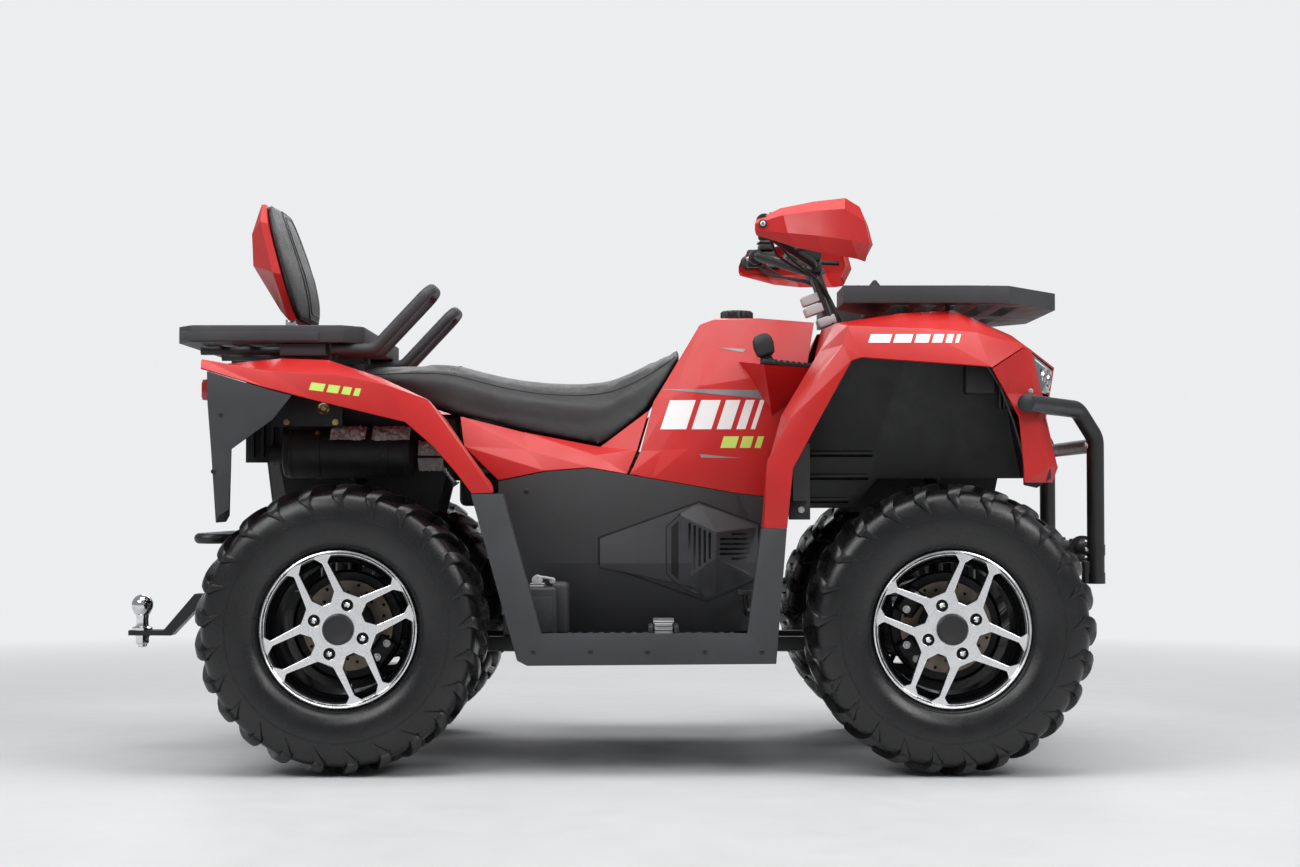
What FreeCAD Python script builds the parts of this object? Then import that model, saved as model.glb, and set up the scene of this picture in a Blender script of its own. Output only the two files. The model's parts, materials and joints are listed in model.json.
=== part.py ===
import FreeCAD, Part
import math
import os

import Sketcher
from FreeCAD import Placement, Rotation, Vector

# A two-seat utility quad bike, in millimetres. Forward is +X, left is +Y, up is +Z, and the
# origin is on the ground at the middle of the length and the width.

doc = FreeCAD.newDocument("QuadBike")
sheet = doc.addObject("Spreadsheet::Sheet", "Sizes")

# Driving sizes
SIZES = {
    "wheel_base": 1290,
    "rear_overhang": 555,
    "front_overhang": 365,
    "front_track": 864,
    "rear_track": 816,
    "tyre_radius": 308,
    "front_tyre_width": 204,
    "rear_tyre_width": 254,
    "lug_height": 14,
    "rim_seat_radius": 152,
    "rim_flange_height": 14,
    "rim_wall": 5,
    "front_rim_width": 156,
    "rear_rim_width": 200,
    "spoke_thickness": 16,
    "spoke_inset": 8,
    "hub_radius": 36,
    "spindle_radius": 20,
    "running_play": 0.1,
    "disc_radius": 98,
    "disc_thickness": 4,
    "kingpin_half_height": 75,
    "knuckle_thickness": 32,
    "steering_arm": 80,
    "tie_rod_radius": 8,
    "column_radius": 15,
    "column_rake": 20,
    "pitman_length": 80,
    "rail_gap": 200,
    "rail_size": 30,
    "rail_drop": 68,
    "frame_tube_radius": 14,
    "post_radius": 12,
    "skid_thickness": 4,
    "seat_gap": 0.3,
    "panel_wall": 4,
    "guard_wall": 3.5,
    "arm_tube_radius": 10,
    "arm_spread": 95,
    "spring_radius": 30,
    "rack_thickness": 38,
    "rack_half_width": 380,
    "bullbar_radius": 19,
    "bumper_radius": 12,
    "grab_radius": 12.7,
    "handlebar_radius": 11,
    "grip_radius": 17,
    "silencer_radius": 55,
    "tow_ball_radius": 25,
}


class Size:
    """A number and the sheet expression that gives it, so that sums of sizes stay bound."""

    def __init__(self, words, value):
        self.words = words
        self.value = float(value)

    def __add__(self, other):
        return Size(f"({self.words} + {words_of(other)})", self.value + value_of(other))

    def __sub__(self, other):
        return Size(f"({self.words} - {words_of(other)})", self.value - value_of(other))

    def __mul__(self, other):
        return Size(f"({self.words} * {words_of(other)})", self.value * value_of(other))

    def __truediv__(self, other):
        return Size(f"({self.words} / {words_of(other)})", self.value / value_of(other))

    def __radd__(self, other):
        return Size(f"({words_of(other)} + {self.words})", value_of(other) + self.value)

    def __rsub__(self, other):
        return Size(f"({words_of(other)} - {self.words})", value_of(other) - self.value)

    def __rmul__(self, other):
        return self * other

    def __neg__(self):
        return Size(f"(0 - {self.words})", -self.value)

    def __float__(self):
        return self.value


def value_of(size):
    return size.value if isinstance(size, Size) else float(size)


def words_of(size):
    return size.words if isinstance(size, Size) else f"({float(size)})"


for row, (alias, number) in enumerate(SIZES.items(), 1):
    sheet.set(f"A{row}", alias.replace("_", " "))
    sheet.set(f"B{row}", str(number))
    sheet.setAlias(f"B{row}", alias)
doc.recompute()


class Sheet:
    """The sheet's cells by alias, each as a Size."""

    def __getattr__(self, alias):
        return Size(f"Sizes.{alias}", sheet.get(alias))


S = Sheet()
nodes = []

# Places that everything else hangs on
X_REAR = (S.rear_overhang - S.wheel_base - S.front_overhang) / 2
X_FRONT = X_REAR + S.wheel_base
AXLE_Z = S.tyre_radius
FRONT_Y = S.front_track / 2
REAR_Y = S.rear_track / 2

# The body's points are drawn for these axle places and this tyre. along() and up() move them
# with the real ones: rigidly round each axle, and stretched over the span between the wheels.
DRAWN_REAR, DRAWN_FRONT, DRAWN_RADIUS = -550, 740, 308
SPAN_START, SPAN_END = -250, 400


def along(x):
    """The place forward of a point drawn at x."""
    if x <= SPAN_START:
        return X_REAR + (x - DRAWN_REAR)
    if x >= SPAN_END:
        return X_FRONT + (x - DRAWN_FRONT)
    start = X_REAR + (SPAN_START - DRAWN_REAR)
    end = X_FRONT + (SPAN_END - DRAWN_FRONT)
    return start + (end - start) * ((x - SPAN_START) / (SPAN_END - SPAN_START))


def up(z):
    """The height of a point drawn at z."""
    return AXLE_Z + (z - DRAWN_RADIUS)


def point(x, y, z):
    """A point from Sizes, which are taken as they are, or from drawn numbers."""
    x = x if isinstance(x, Size) else along(x)
    z = z if isinstance(z, Size) else up(z)
    return Vector(value_of(x), value_of(y), value_of(z))


# Helpers: binding, sketches and bodies
def bind(item, prop, size):
    item.setExpression(prop, size.words if isinstance(size, Size) else str(float(size)))


def node(name, item):
    """Marks an object as a sub-part, whose label names its file."""
    item.Label = name
    nodes.append(item)
    return item


def draw(sketch, corners):
    """Adds a closed outline. Each corner is held by two bound distances from the origin."""
    first = sketch.GeometryCount
    count = len(corners)
    places = [Vector(value_of(a), value_of(b), 0) for a, b in corners]
    sketch.addGeometry(
        [Part.LineSegment(places[i], places[(i + 1) % count]) for i in range(count)], False
    )
    sketch.addConstraint(
        [
            Sketcher.Constraint("Coincident", first + i, 2, first + (i + 1) % count, 1)
            for i in range(count)
        ]
    )
    for i, (a, b) in enumerate(corners):
        for kind, size in (("DistanceX", a), ("DistanceY", b)):
            held = sketch.addConstraint(
                Sketcher.Constraint(kind, first + i, 1, value_of(size))
            )
            bind(sketch, f"Constraints[{held}]", size)


def sketch_in(body, plane, offset, outlines):
    sketch = body.newObject("Sketcher::SketchObject", body.Name + "_sketch")
    base = next(f for f in body.Origin.OriginFeatures if f.Role == plane + "_Plane")
    sketch.AttachmentSupport = (base, [""])
    sketch.MapMode = "FlatFace"
    bind(sketch, ".AttachmentOffset.Base.z", offset)
    for outline in outlines:
        draw(sketch, outline)
    return sketch


def prism(name, plane, low, high, *outlines):
    """An outline, less any outlines within it, padded between two places on the plane's own
    axis: Z, Y or X."""
    body = doc.addObject("PartDesign::Body", name)
    offset = 0 - high if plane == "XZ" else low
    feature = body.newObject("PartDesign::Pad", name + "_pad")
    feature.Profile = sketch_in(body, plane, offset, outlines)
    bind(feature, "Length", high - low)
    return body


def place(item, x, y, z):
    for axis, size in (("x", x), ("y", y), ("z", z)):
        bind(item, f".Placement.Base.{axis}", size)
    return item


def box(name, x0, x1, y0, y1, z0, z1):
    item = doc.addObject("Part::Box", name)
    bind(item, "Length", x1 - x0)
    bind(item, "Width", y1 - y0)
    bind(item, "Height", z1 - z0)
    return place(item, x0, y0, z0)


TUBE_SIDES = 8
HIDDEN_SIDES = 6
ROUND_SIDES = 12
FLAT_SHARE = math.cos(math.pi / TUBE_SIDES)
AXIS_TURNS = {"X": (Vector(0, 1, 0), 90), "Y": (Vector(1, 0, 0), -90), "Z": (Vector(0, 0, 1), 0)}


def bar_along(name, axis, low, high, a, b, radius, sides=TUBE_SIDES):
    """A bound bar with many flats along X, Y or Z; a and b are its other two places."""
    item = doc.addObject("Part::Prism", name)
    item.Polygon = sides
    bind(item, "Circumradius", radius)
    bind(item, "Height", high - low)
    item.Placement.Rotation = Rotation(*AXIS_TURNS[axis])
    spots = {"X": (low, a, b), "Y": (a, low, b), "Z": (a, b, low)}[axis]
    return place(item, *spots)


def bar(name, start, end, radius, sides=TUBE_SIDES):
    """A bar with many flats from start to end."""
    item = doc.addObject("Part::Prism", name)
    item.Polygon = sides
    bind(item, "Circumradius", radius)
    item.Height = (end - start).Length
    item.Placement = Placement(start, Rotation(Vector(0, 0, 1), end - start))
    return item


def joined(name, *items):
    item = doc.addObject("Part::MultiFuse", name)
    item.Shapes = list(items)
    return item


def without(name, base, *tools):
    item = doc.addObject("Part::Cut", name)
    item.Base = base
    item.Tool = tools[0] if len(tools) == 1 else joined(name + "_tools", *tools)
    return item


def mirrored(item):
    """The item's twin on the right-hand side."""
    twin = doc.addObject("Part::Mirroring", item.Name + "_right")
    twin.Source = item
    twin.Normal = Vector(0, 1, 0)
    return twin


def group(name, *items):
    item = doc.addObject("Part::Compound", name)
    item.Links = list(items)
    return item


def both_sides(name, *items):
    """Left-hand items with their right-hand twins, as one sub-part."""
    return node(name, group(name, *items, *[mirrored(i) for i in items]))


def shape(name, made):
    item = doc.addObject("Part::Feature", name)
    item.Shape = made
    return item


def placed(corners, shift=0):
    """Corners drawn in side view, moved forward by a shift."""
    return [(along(x) + shift, up(z)) for x, z in corners]


# Helpers: flat-faced mouldings, rings and bent tubes
def facets(loop):
    """Faces over a loop of points, in triangles where four points don't lie flat."""
    loop = [p for i, p in enumerate(loop) if (p - loop[i - 1]).Length > 1e-6]
    if len(loop) < 3:
        return []
    if len(loop) == 4:
        normal = (loop[1] - loop[0]).cross(loop[2] - loop[0])
        if normal.Length < 1e-6 or abs(normal.normalize().dot(loop[3] - loop[0])) > 1e-7:
            return facets([loop[0], loop[1], loop[2]]) + facets([loop[0], loop[2], loop[3]])
    return [Part.Face(Part.makePolygon(loop + loop[:1]))]


def closed_solid(faces):
    solid = Part.Solid(Part.makeShell(faces))
    if solid.Volume < 0:
        solid.reverse()
    return solid.removeSplitter()


def strips(rings_of_points, wrap):
    """Faces between each row of points and the next, round the row's ends if it wraps."""
    faces = []
    for one, two in zip(rings_of_points, rings_of_points[1:]):
        for j in range(0 if wrap else 1, len(one)):
            faces += facets([one[j - 1], one[j], two[j], two[j - 1]])
    return faces


def moulding(rows, wall):
    """A sheet of flat facets over a grid of outer points. Its wall is on the side that the
    turn from a row's next point to the next row points away from."""
    rows = [[point(*p) for p in row] for row in rows]
    n, m = len(rows), len(rows[0])
    thick = value_of(wall)

    def normal(i, j):
        total = Vector()
        for a, b in ((-1, -1), (-1, 1), (1, -1), (1, 1)):
            if 0 <= i + a < n and 0 <= j + b < m:
                down = (rows[i + a][j] - rows[i][j]) * a
                over = (rows[i][j + b] - rows[i][j]) * b
                face = down.cross(over)
                if face.Length > 1e-6:
                    total += face.normalize()
        if abs(rows[i][j].y) < 1e-6:
            total.y = 0
        return total.normalize()

    inner = [[rows[i][j] - normal(i, j) * thick for j in range(m)] for i in range(n)]
    faces = strips(rows, False) + strips(inner, False)
    for j in (0, m - 1):
        faces += strips([[row[j], back[j]] for row, back in zip(rows, inner)], False)
    for i in (0, n - 1):
        faces += strips([rows[i], inner[i]], False)
    return closed_solid(faces)


def faceted(sections):
    """A solid with flat facets through closed sections that have equal numbers of corners."""
    sections = [[point(*p) for p in section] for section in sections]
    return closed_solid(strips(sections, True) + facets(sections[0]) + facets(sections[-1]))


def across(half):
    """A row from right to left, from a row that runs from the centre line to the left."""
    right = [(x, 0 - y, z) for x, y, z in reversed(half) if value_of(y)]
    return right + list(half)


def bent_tube(corners, radius, bend, sides=TUBE_SIDES, steps=2):
    """A many-sided tube along straight runs, with mitred elbows in a few steps."""
    corners = [point(*p) for p in corners]
    stations = [corners[0]]
    for before, corner, after in zip(corners, corners[1:], corners[2:]):
        into = (corner - before).normalize()
        out = (after - corner).normalize()
        half = into.getAngle(out) / 2
        middle = corner + (out - into).normalize() * (bend / math.cos(half))
        start = corner - into * (bend * math.tan(half))
        axis = into.cross(out)
        for k in range(steps + 1):
            turn = Rotation(axis, math.degrees(2 * half) * k / steps)
            reach = 1 if k in (0, steps) else 1 / math.cos(half / steps)
            stations.append(middle + turn.multVec(start - middle) * reach)
    stations.append(corners[-1])
    runs = [(b - a).normalize() for a, b in zip(stations, stations[1:])]
    side = Vector(0, 0, 1) if abs(runs[0].z) < 0.9 else Vector(0, 1, 0)
    up_side = runs[0].cross(side).normalize()
    loop = []
    for k in range(sides):
        turn = Rotation(runs[0], 360 * (k + 0.5) / sides)
        loop.append(corners[0] + turn.multVec(up_side) * value_of(radius))
    loops = [loop]
    for k, run in enumerate(runs):
        at = stations[k + 1]
        plane = run if k + 1 == len(runs) else (run + runs[k + 1]).normalize()
        loop = [p + run * ((at - p).dot(plane) / run.dot(plane)) for p in loop]
        loops.append(loop)
    return closed_solid(strips(loops, True) + facets(loops[0]) + facets(loops[-1]))


def around(radius, y, step, sectors):
    """A point of a flat-sided ring whose flats, not its corners, are at the radius."""
    turn = 2 * math.pi / sectors
    reach = value_of(radius) / math.cos(turn / 2)
    angle = (step - 0.5) * turn - math.pi / 2
    return Vector(reach * math.cos(angle), value_of(y), reach * math.sin(angle))


def flat_ring(profile, sectors, raised=None):
    """A flat-sided ring about Y from closed (y, radius) corners. A raised band of every other
    sector stands out to the (y, radius) pair that it names."""
    faces = []
    count = len(profile)
    raised = raised or {}

    def spot(pair, k):
        return around(pair[1], pair[0], k, sectors)

    for k in range(sectors):
        for j in range(count):
            low = [profile[j - 1], profile[j]]
            tips = raised.get((k % 2, j))
            use = tips or low
            faces += facets([spot(use[0], k), spot(use[1], k), spot(use[1], k + 1), spot(use[0], k + 1)])
            if not tips:
                continue
            for side in (k, k + 1):
                faces += facets([spot(p, side) for p in (low[0], low[1], tips[1], tips[0])])
            for end, other in ((0, j - 1), (1, j + 1)):
                if (k % 2, other % count) not in raised:
                    a, b = low[end], tips[end]
                    faces += facets([spot(a, k), spot(b, k), spot(b, k + 1), spot(a, k + 1)])
    return closed_solid(faces)


def turned(profile, sectors=TUBE_SIDES):
    """A flat-sided solid of revolution about Y, from (y, radius) stations end to end."""
    loops = [
        [around(radius, y, k, sectors) for k in range(sectors)] for y, radius in profile
    ]
    return closed_solid(strips(loops, True) + facets(loops[0]) + facets(loops[-1]))


# Wheels
TYRE_SECTORS = 28
RIM_SECTORS = 16
DISC_SECTORS = 12
SPOKE_PAIRS = 4
BEAD_SEAT = 3.5


def tyre(name, width, rim_width, x, y):
    """A tyre whose lugs alternate from shoulder to shoulder."""
    half = width / 2
    lug = S.lug_height
    crown = S.tyre_radius - lug
    bead = S.rim_seat_radius + BEAD_SEAT
    flange = S.rim_seat_radius + S.rim_flange_height
    side = [
        (rim_width / 2 - 10.5, bead),
        (rim_width / 2 - 7, flange + BEAD_SEAT),
        (half - 2, flange + 38),
        (half - 5, crown - 34),
        (half - 30, crown - 6),
        (half * 0.22, crown),
    ]
    profile = side + [(0 - a, r) for a, r in reversed(side)]
    tips = [(half, crown - 34), (half - 20, crown + lug - 6), (half * 0.22, crown + lug)]
    shoulder = 3
    raised = {(0, shoulder + 1 + k): [tips[k], tips[k + 1]] for k in (0, 1)}
    for k in (0, 1):
        ends = [(0 - a, r) for a, r in (tips[k + 1], tips[k])]
        raised[(1, len(profile) - shoulder - 1 - k)] = ends
    return place(shape(name, flat_ring(profile, TYRE_SECTORS, raised)), x, y, AXLE_Z)


def slot_window(middle, hub, edge):
    """The long window between the two spokes of a pair, about a direction from the hub."""
    corners = (
        (hub + 18, 0), (hub + 40, -24), (edge - 14, -26), (edge - 4, -13),
        (edge - 4, 13), (edge - 14, 26), (hub + 40, 24),
    )
    cos, sin = math.cos(middle), math.sin(middle)
    return [(u * cos - v * sin, u * sin + v * cos) for u, v in corners]


def sector_window(middle, hub, edge):
    """The wide window between two pairs of spokes, about a direction from the hub."""
    corners = (
        (hub + 42, -13), (edge - 14, -29), (edge - 4, -24), (edge - 3, -8),
        (edge - 3, 8), (edge - 4, 24), (edge - 14, 29), (hub + 42, 13),
    )
    turns = [middle + math.radians(degrees) for _, degrees in corners]
    return [(r * math.cos(turn), r * math.sin(turn)) for (r, _), turn in zip(corners, turns)]


def wheel(name, rim_width, x, y, hub_in, slot_turn):
    """Rim, spokes, hub and brake disc of a left-hand wheel. hub_in is the hub's inner end,
    measured from the wheel's middle, and slot_turn is the first slot window's direction."""
    half = rim_width / 2
    seat, wall = S.rim_seat_radius, S.rim_wall
    flange = seat + S.rim_flange_height
    side = [(half, flange), (half - 6, flange), (half - 9.5, seat)]
    inside = [(0 - half + 12, seat - wall), (half - 12, seat - wall)]
    profile = side + [(0 - a, r) for a, r in reversed(side)] + inside
    barrel = shape(name + "_barrel", flat_ring(profile, RIM_SECTORS))
    out = half - S.spoke_inset
    low = out - S.spoke_thickness
    edge = seat - wall
    reach = (edge + wall / 2) / math.cos(math.pi / RIM_SECTORS)
    outline = [
        (reach * math.cos(a), reach * math.sin(a))
        for a in (2 * math.pi * (k + 0.5) / RIM_SECTORS for k in range(RIM_SECTORS))
    ]
    windows = []
    for k in range(SPOKE_PAIRS):
        middle = math.radians(slot_turn) + 2 * math.pi * k / SPOKE_PAIRS
        windows.append(slot_window(middle, S.hub_radius, edge))
        windows.append(sector_window(middle + math.pi / SPOKE_PAIRS, S.hub_radius, edge))
    face = prism(name + "_face", "XZ", low, out, outline, *windows)
    centre = Size("0", 0)
    hub = bar_along(name + "_hub", "Y", hub_in, out, centre, centre, S.hub_radius, 12)
    bore_radius = (S.spindle_radius + S.running_play) / math.cos(math.pi / ROUND_SIDES)
    bore = bar_along(name + "_bore", "Y", hub_in, out, centre, centre, bore_radius, ROUND_SIDES)
    inner = S.hub_radius - 3
    disc_low = hub_in + 6
    disc_high = disc_low + S.disc_thickness
    disc_profile = [
        (disc_low, inner), (disc_low, S.disc_radius), (disc_high, S.disc_radius), (disc_high, inner),
    ]
    disc = shape(name + "_disc", flat_ring(disc_profile, DISC_SECTORS))
    solid = joined(name + "_solid", barrel, face, hub, disc)
    return place(without(name, solid, bore), x, y, AXLE_Z)


HUB_IN = {"front": -36, "rear": -60}
SLOT_TURN = {"front": 68, "rear": 25}
for end, width, rim_width, x, y in (
    ("front", S.front_tyre_width, S.front_rim_width, X_FRONT, FRONT_Y),
    ("rear", S.rear_tyre_width, S.rear_rim_width, X_REAR, REAR_Y),
):
    for kind, item in (
        ("tyre", tyre(f"tyre_{end}_left", width, rim_width, x, y)),
        ("wheel", wheel(f"wheel_{end}_left", rim_width, x, y, HUB_IN[end], SLOT_TURN[end])),
    ):
        node(f"{kind}_{end}_left", item)
        node(f"{kind}_{end}_right", mirrored(item))

# Frame
RAIL_LOW = AXLE_Z - S.rail_drop
RAIL_TOP = RAIL_LOW + S.rail_size
RAIL_Y = (S.rail_gap + S.rail_size) / 2
RAIL_OUT = S.rail_gap / 2 + S.rail_size
RAIL_REAR = X_REAR - S.arm_spread
RAIL_FRONT = X_FRONT + 130
CROSS_HEIGHT = 14
TOP_TUBE_Z = up(640)
FLOOR_Z = up(286)
BOARD_HALF = 4
BOARD_OUT = 474
HOOP_X, HOOP_Z = along(876), up(791)

rail = box("rail", RAIL_REAR, RAIL_FRONT, RAIL_OUT - S.rail_size, RAIL_OUT, RAIL_LOW, RAIL_TOP)
both_sides("lower_rails", rail)

cross_half, cross_top = S.rail_gap / 2, RAIL_LOW + CROSS_HEIGHT
cross_places = (
    X_REAR - 75, X_REAR + 45, along(-250), along(180), X_FRONT - 200, X_FRONT - 15, X_FRONT + 80,
)
cross_bars = [
    box(f"cross_{i}", x, x + 30, 0 - cross_half, cross_half, RAIL_LOW, cross_top)
    for i, x in enumerate(cross_places)
]
outriggers = [
    box(f"outrigger_{i}", x, x + 24, RAIL_OUT, BOARD_OUT, RAIL_LOW + 8, FLOOR_Z - 2 * BOARD_HALF)
    for i, x in enumerate((along(-120), along(290)))
]
far_outriggers = [mirrored(i) for i in outriggers]
node("cross_members", group("cross_members", *cross_bars, *outriggers, *far_outriggers))

SKID_LOW = RAIL_LOW - S.skid_thickness
node("skid_plate", box("skid", X_REAR - 60, X_FRONT + 80, 2 - RAIL_OUT, RAIL_OUT - 2, SKID_LOW, RAIL_LOW))

TUBE = S.frame_tube_radius
TOP_TUBE_LOW, TOP_TUBE_HIGH = TOP_TUBE_Z - TUBE, TOP_TUBE_Z + TUBE
post_places = (
    X_REAR - S.arm_spread + S.post_radius, X_REAR + S.arm_spread,
    X_FRONT - S.arm_spread, X_FRONT + S.arm_spread,
)
posts = [
    bar_along(f"post_{i}", "Z", RAIL_TOP, TOP_TUBE_LOW, x, RAIL_Y, S.post_radius, HIDDEN_SIDES)
    for i, x in enumerate(post_places)
]
top_tube = bar_along("top_tube", "X", RAIL_REAR, X_FRONT + 107, RAIL_Y, TOP_TUBE_Z, TUBE)
TOWER_HALF, TOWER_RADIUS = 190, 10
tower_z = TOP_TUBE_HIGH + TOWER_RADIUS
towers = [
    bar_along(f"tower_{i}", "Y", -TOWER_HALF, TOWER_HALF, x, tower_z, TOWER_RADIUS)
    for i, x in enumerate((X_REAR, X_FRONT))
]
left_parts = posts + [top_tube]
right_parts = [mirrored(i) for i in left_parts]
rake = math.radians(value_of(S.column_rake))
axis_up = Vector(-math.sin(rake), 0, math.cos(rake))


def column_point(z):
    """The place on the steering axis at a height."""
    foot_x, foot_z = X_FRONT + 9, up(400)
    return point(foot_x - math.tan(rake) * (value_of(z) - value_of(foot_z)), 0, z)


COLLAR_RADIUS = 26
collar_ends = column_point(up(640)), column_point(up(668))
collar = without(
    "collar",
    bar("collar_outer", *collar_ends, COLLAR_RADIUS),
    bar("collar_bore", *collar_ends, (S.column_radius + 3 * S.running_play) / FLAT_SHARE),
)
collar_back = along(612)
ARM_HALF_HEIGHT = 8
collar_arm = box(
    "collar_arm", collar_back, collar_back + 30, TUBE - RAIL_Y, RAIL_Y - TUBE,
    TOP_TUBE_Z - ARM_HALF_HEIGHT, TOP_TUBE_Z + ARM_HALF_HEIGHT,
)
hoop_strut = bar(
    "hoop_strut", point(along(838), RAIL_Y, TOP_TUBE_Z), point(HOOP_X, RAIL_Y, HOOP_Z), 11
)
LINER_IN, LINER_OUT = 238, 242
hoop_half = LINER_IN - S.seat_gap
hoop_bar = bar_along("hoop_bar", "Y", 0 - hoop_half, hoop_half, HOOP_X, HOOP_Z, TUBE)
hoop_whole = joined("front_hoop_whole", hoop_bar, hoop_strut, mirrored(hoop_strut))
front_hoop = without("front_hoop", hoop_whole, *left_parts, *right_parts)
column_mount = joined("column_mount", collar, collar_arm)
node("upper_frame", group(
    "upper_frame", *left_parts, *right_parts, *towers, front_hoop, column_mount,
))

# Engine and drive line
CASE_HALF = 75
node("engine", box("engine_block", along(-230), along(240), 0 - RAIL_Y, RAIL_Y, RAIL_TOP, up(540)))
case_low = RAIL_LOW + CROSS_HEIGHT
node("gearcases", group(
    "gearcases",
    box("front_case", X_FRONT - 35, X_FRONT + 70, -CASE_HALF, CASE_HALF, case_low, up(365)),
    box("rear_case", X_REAR - 60, X_REAR + 60, -CASE_HALF, CASE_HALF, case_low, up(380)),
))
KINGPIN_Y = FRONT_Y - 57
UPRIGHT_Y = REAR_Y - 78
SHAFT_RADIUS = 12
SHAFT_END = {"front": KINGPIN_Y - 53, "rear": UPRIGHT_Y - 8}


def half_shaft(end, x):
    """Inner joint, boot and bar of one left-hand axle shaft."""
    profile = [
        (CASE_HALF, 30), (150, 30), (154, 38), (215, 15), (216, SHAFT_RADIUS),
        (SHAFT_END[end], SHAFT_RADIUS),
    ]
    return place(shape(f"half_shaft_{end}", turned(profile, HIDDEN_SIDES)), x, 0, AXLE_Z)


both_sides("half_shafts", half_shaft("front", X_FRONT), half_shaft("rear", X_REAR))

# Suspension
SOCKET_HALF, SOCKET_RADIUS = 12, 15
SHELF_Z = up(384)
EYE_RADIUS, EYE_HALF = 18, 16
SHOCK_TOP_Y = 165


def wishbones(end, x, outer_y, shock_y):
    """Upper and lower arms of one left-hand corner: two legs into a socket round the kingpin."""
    made = []
    for word, side, frame_z in (("upper", 1, up(370)), ("lower", -1, up(255))):
        name = f"{end}_{word}"
        middle = AXLE_Z + S.kingpin_half_height * side
        low, high = middle - SOCKET_HALF, middle + SOCKET_HALF
        socket = bar_along(name + "_socket", "Z", low, high, x, outer_y, SOCKET_RADIUS)
        frame_y = RAIL_Y + S.post_radius if side > 0 else RAIL_OUT
        tip = point(x, outer_y - 4, middle)
        pieces = [
            bar(
                f"{name}_leg_{i}", point(x + S.arm_spread * i, frame_y, frame_z), tip,
                S.arm_tube_radius, HIDDEN_SIDES,
            )
            for i in (-1, 1)
        ]
        if side > 0:
            inner, outer = shock_y - 18, shock_y + 18
            pieces.append(box(name + "_shelf", x - 45, x + 45, inner, outer, SHELF_Z - 12, SHELF_Z))
        made.append(without(name, joined(name + "_whole", socket, *pieces), rail, *posts))
    return made


FRONT_SHOCK_Y = KINGPIN_Y - 125
REAR_SHOCK_Y = UPRIGHT_Y - 80
both_sides("front_wishbones", *wishbones("front", X_FRONT, KINGPIN_Y, FRONT_SHOCK_Y))
both_sides("rear_wishbones", *wishbones("rear", X_REAR, UPRIGHT_Y, REAR_SHOCK_Y))


def shock(end, x, low_y):
    """Eyes, damper and spring, with its coils as ridges, of one left-hand shock absorber."""
    low = point(x, low_y, SHELF_Z + EYE_RADIUS)
    high = point(x, SHOCK_TOP_Y, TOP_TUBE_HIGH - EYE_RADIUS)
    length = (high - low).Length
    start, stop, coils = 38, length - 38, 4
    pitch = (stop - start) / coils
    spring = value_of(S.spring_radius)
    profile = [(6, 12), (start, 12)]
    for k in range(coils):
        profile += [(start + k * pitch + 0.1, spring - 9), (start + (k + 0.5) * pitch, spring)]
    profile += [(stop, spring - 9), (stop + 0.1, 10), (length - 6, 10)]
    body = shape(f"shock_body_{end}", turned(profile, HIDDEN_SIDES))
    body.Placement = Placement(low, Rotation(Vector(0, 1, 0), high - low))
    half_eye = Vector(EYE_HALF, 0, 0)
    eyes = [
        bar(f"shock_eye_{end}_{i}", middle - half_eye, middle + half_eye, EYE_RADIUS, HIDDEN_SIDES)
        for i, middle in enumerate((low, high))
    ]
    return joined(f"shock_{end}", body, *eyes)


both_sides(
    "shock_absorbers",
    shock("front", X_FRONT, FRONT_SHOCK_Y),
    shock("rear", X_REAR, REAR_SHOCK_Y),
)

UPRIGHT_HALF = S.kingpin_half_height - SOCKET_HALF - S.seat_gap
REAR_UPRIGHT_WALL = 14
UPRIGHT_LOW, UPRIGHT_HIGH = AXLE_Z - UPRIGHT_HALF, AXLE_Z + UPRIGHT_HALF


def upright(name, x, y, half_x, half_y, spindle_end):
    """The plate between a pair of wishbones, with the spindle that carries the wheel."""
    plate = box(
        name + "_plate", x - half_x, x + half_x, y - half_y, y + half_y, UPRIGHT_LOW, UPRIGHT_HIGH
    )
    spindle = bar_along(
        name + "_spindle", "Y", y, spindle_end, x, AXLE_Z, S.spindle_radius, ROUND_SIDES
    )
    return [plate, spindle]


rear_upright = joined(
    "rear_upright", *upright("rear", X_REAR, UPRIGHT_Y, 24, REAR_UPRIGHT_WALL, REAR_Y + 70)
)
shaft_hole = bar_along(
    "rear_shaft_hole", "Y", UPRIGHT_Y - 30, SHAFT_END["rear"], X_REAR, AXLE_Z, SHAFT_RADIUS + 4
)
both_sides("rear_knuckles", without("rear_knuckle", rear_upright, shaft_hole))

# Front knuckles, tie rods and steering
half_thick = S.knuckle_thickness / 2
ARM_HALF = 14
ARM_LOW, ARM_HIGH = AXLE_Z + 47, AXLE_Z + 59
ROD_Z = AXLE_Z + 37
ARM_X = X_FRONT - S.steering_arm
arm_inner, arm_outer = KINGPIN_Y - ARM_HALF, KINGPIN_Y + ARM_HALF
knuckle = joined(
    "knuckle",
    *upright("front", X_FRONT, KINGPIN_Y, 22, half_thick, FRONT_Y + 46),
    box("steering_arm", ARM_X - ARM_HALF, X_FRONT, arm_inner, arm_outer, ARM_LOW, ARM_HIGH),
)
node("knuckle_left", knuckle)
node("knuckle_right", mirrored(knuckle))

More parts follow.
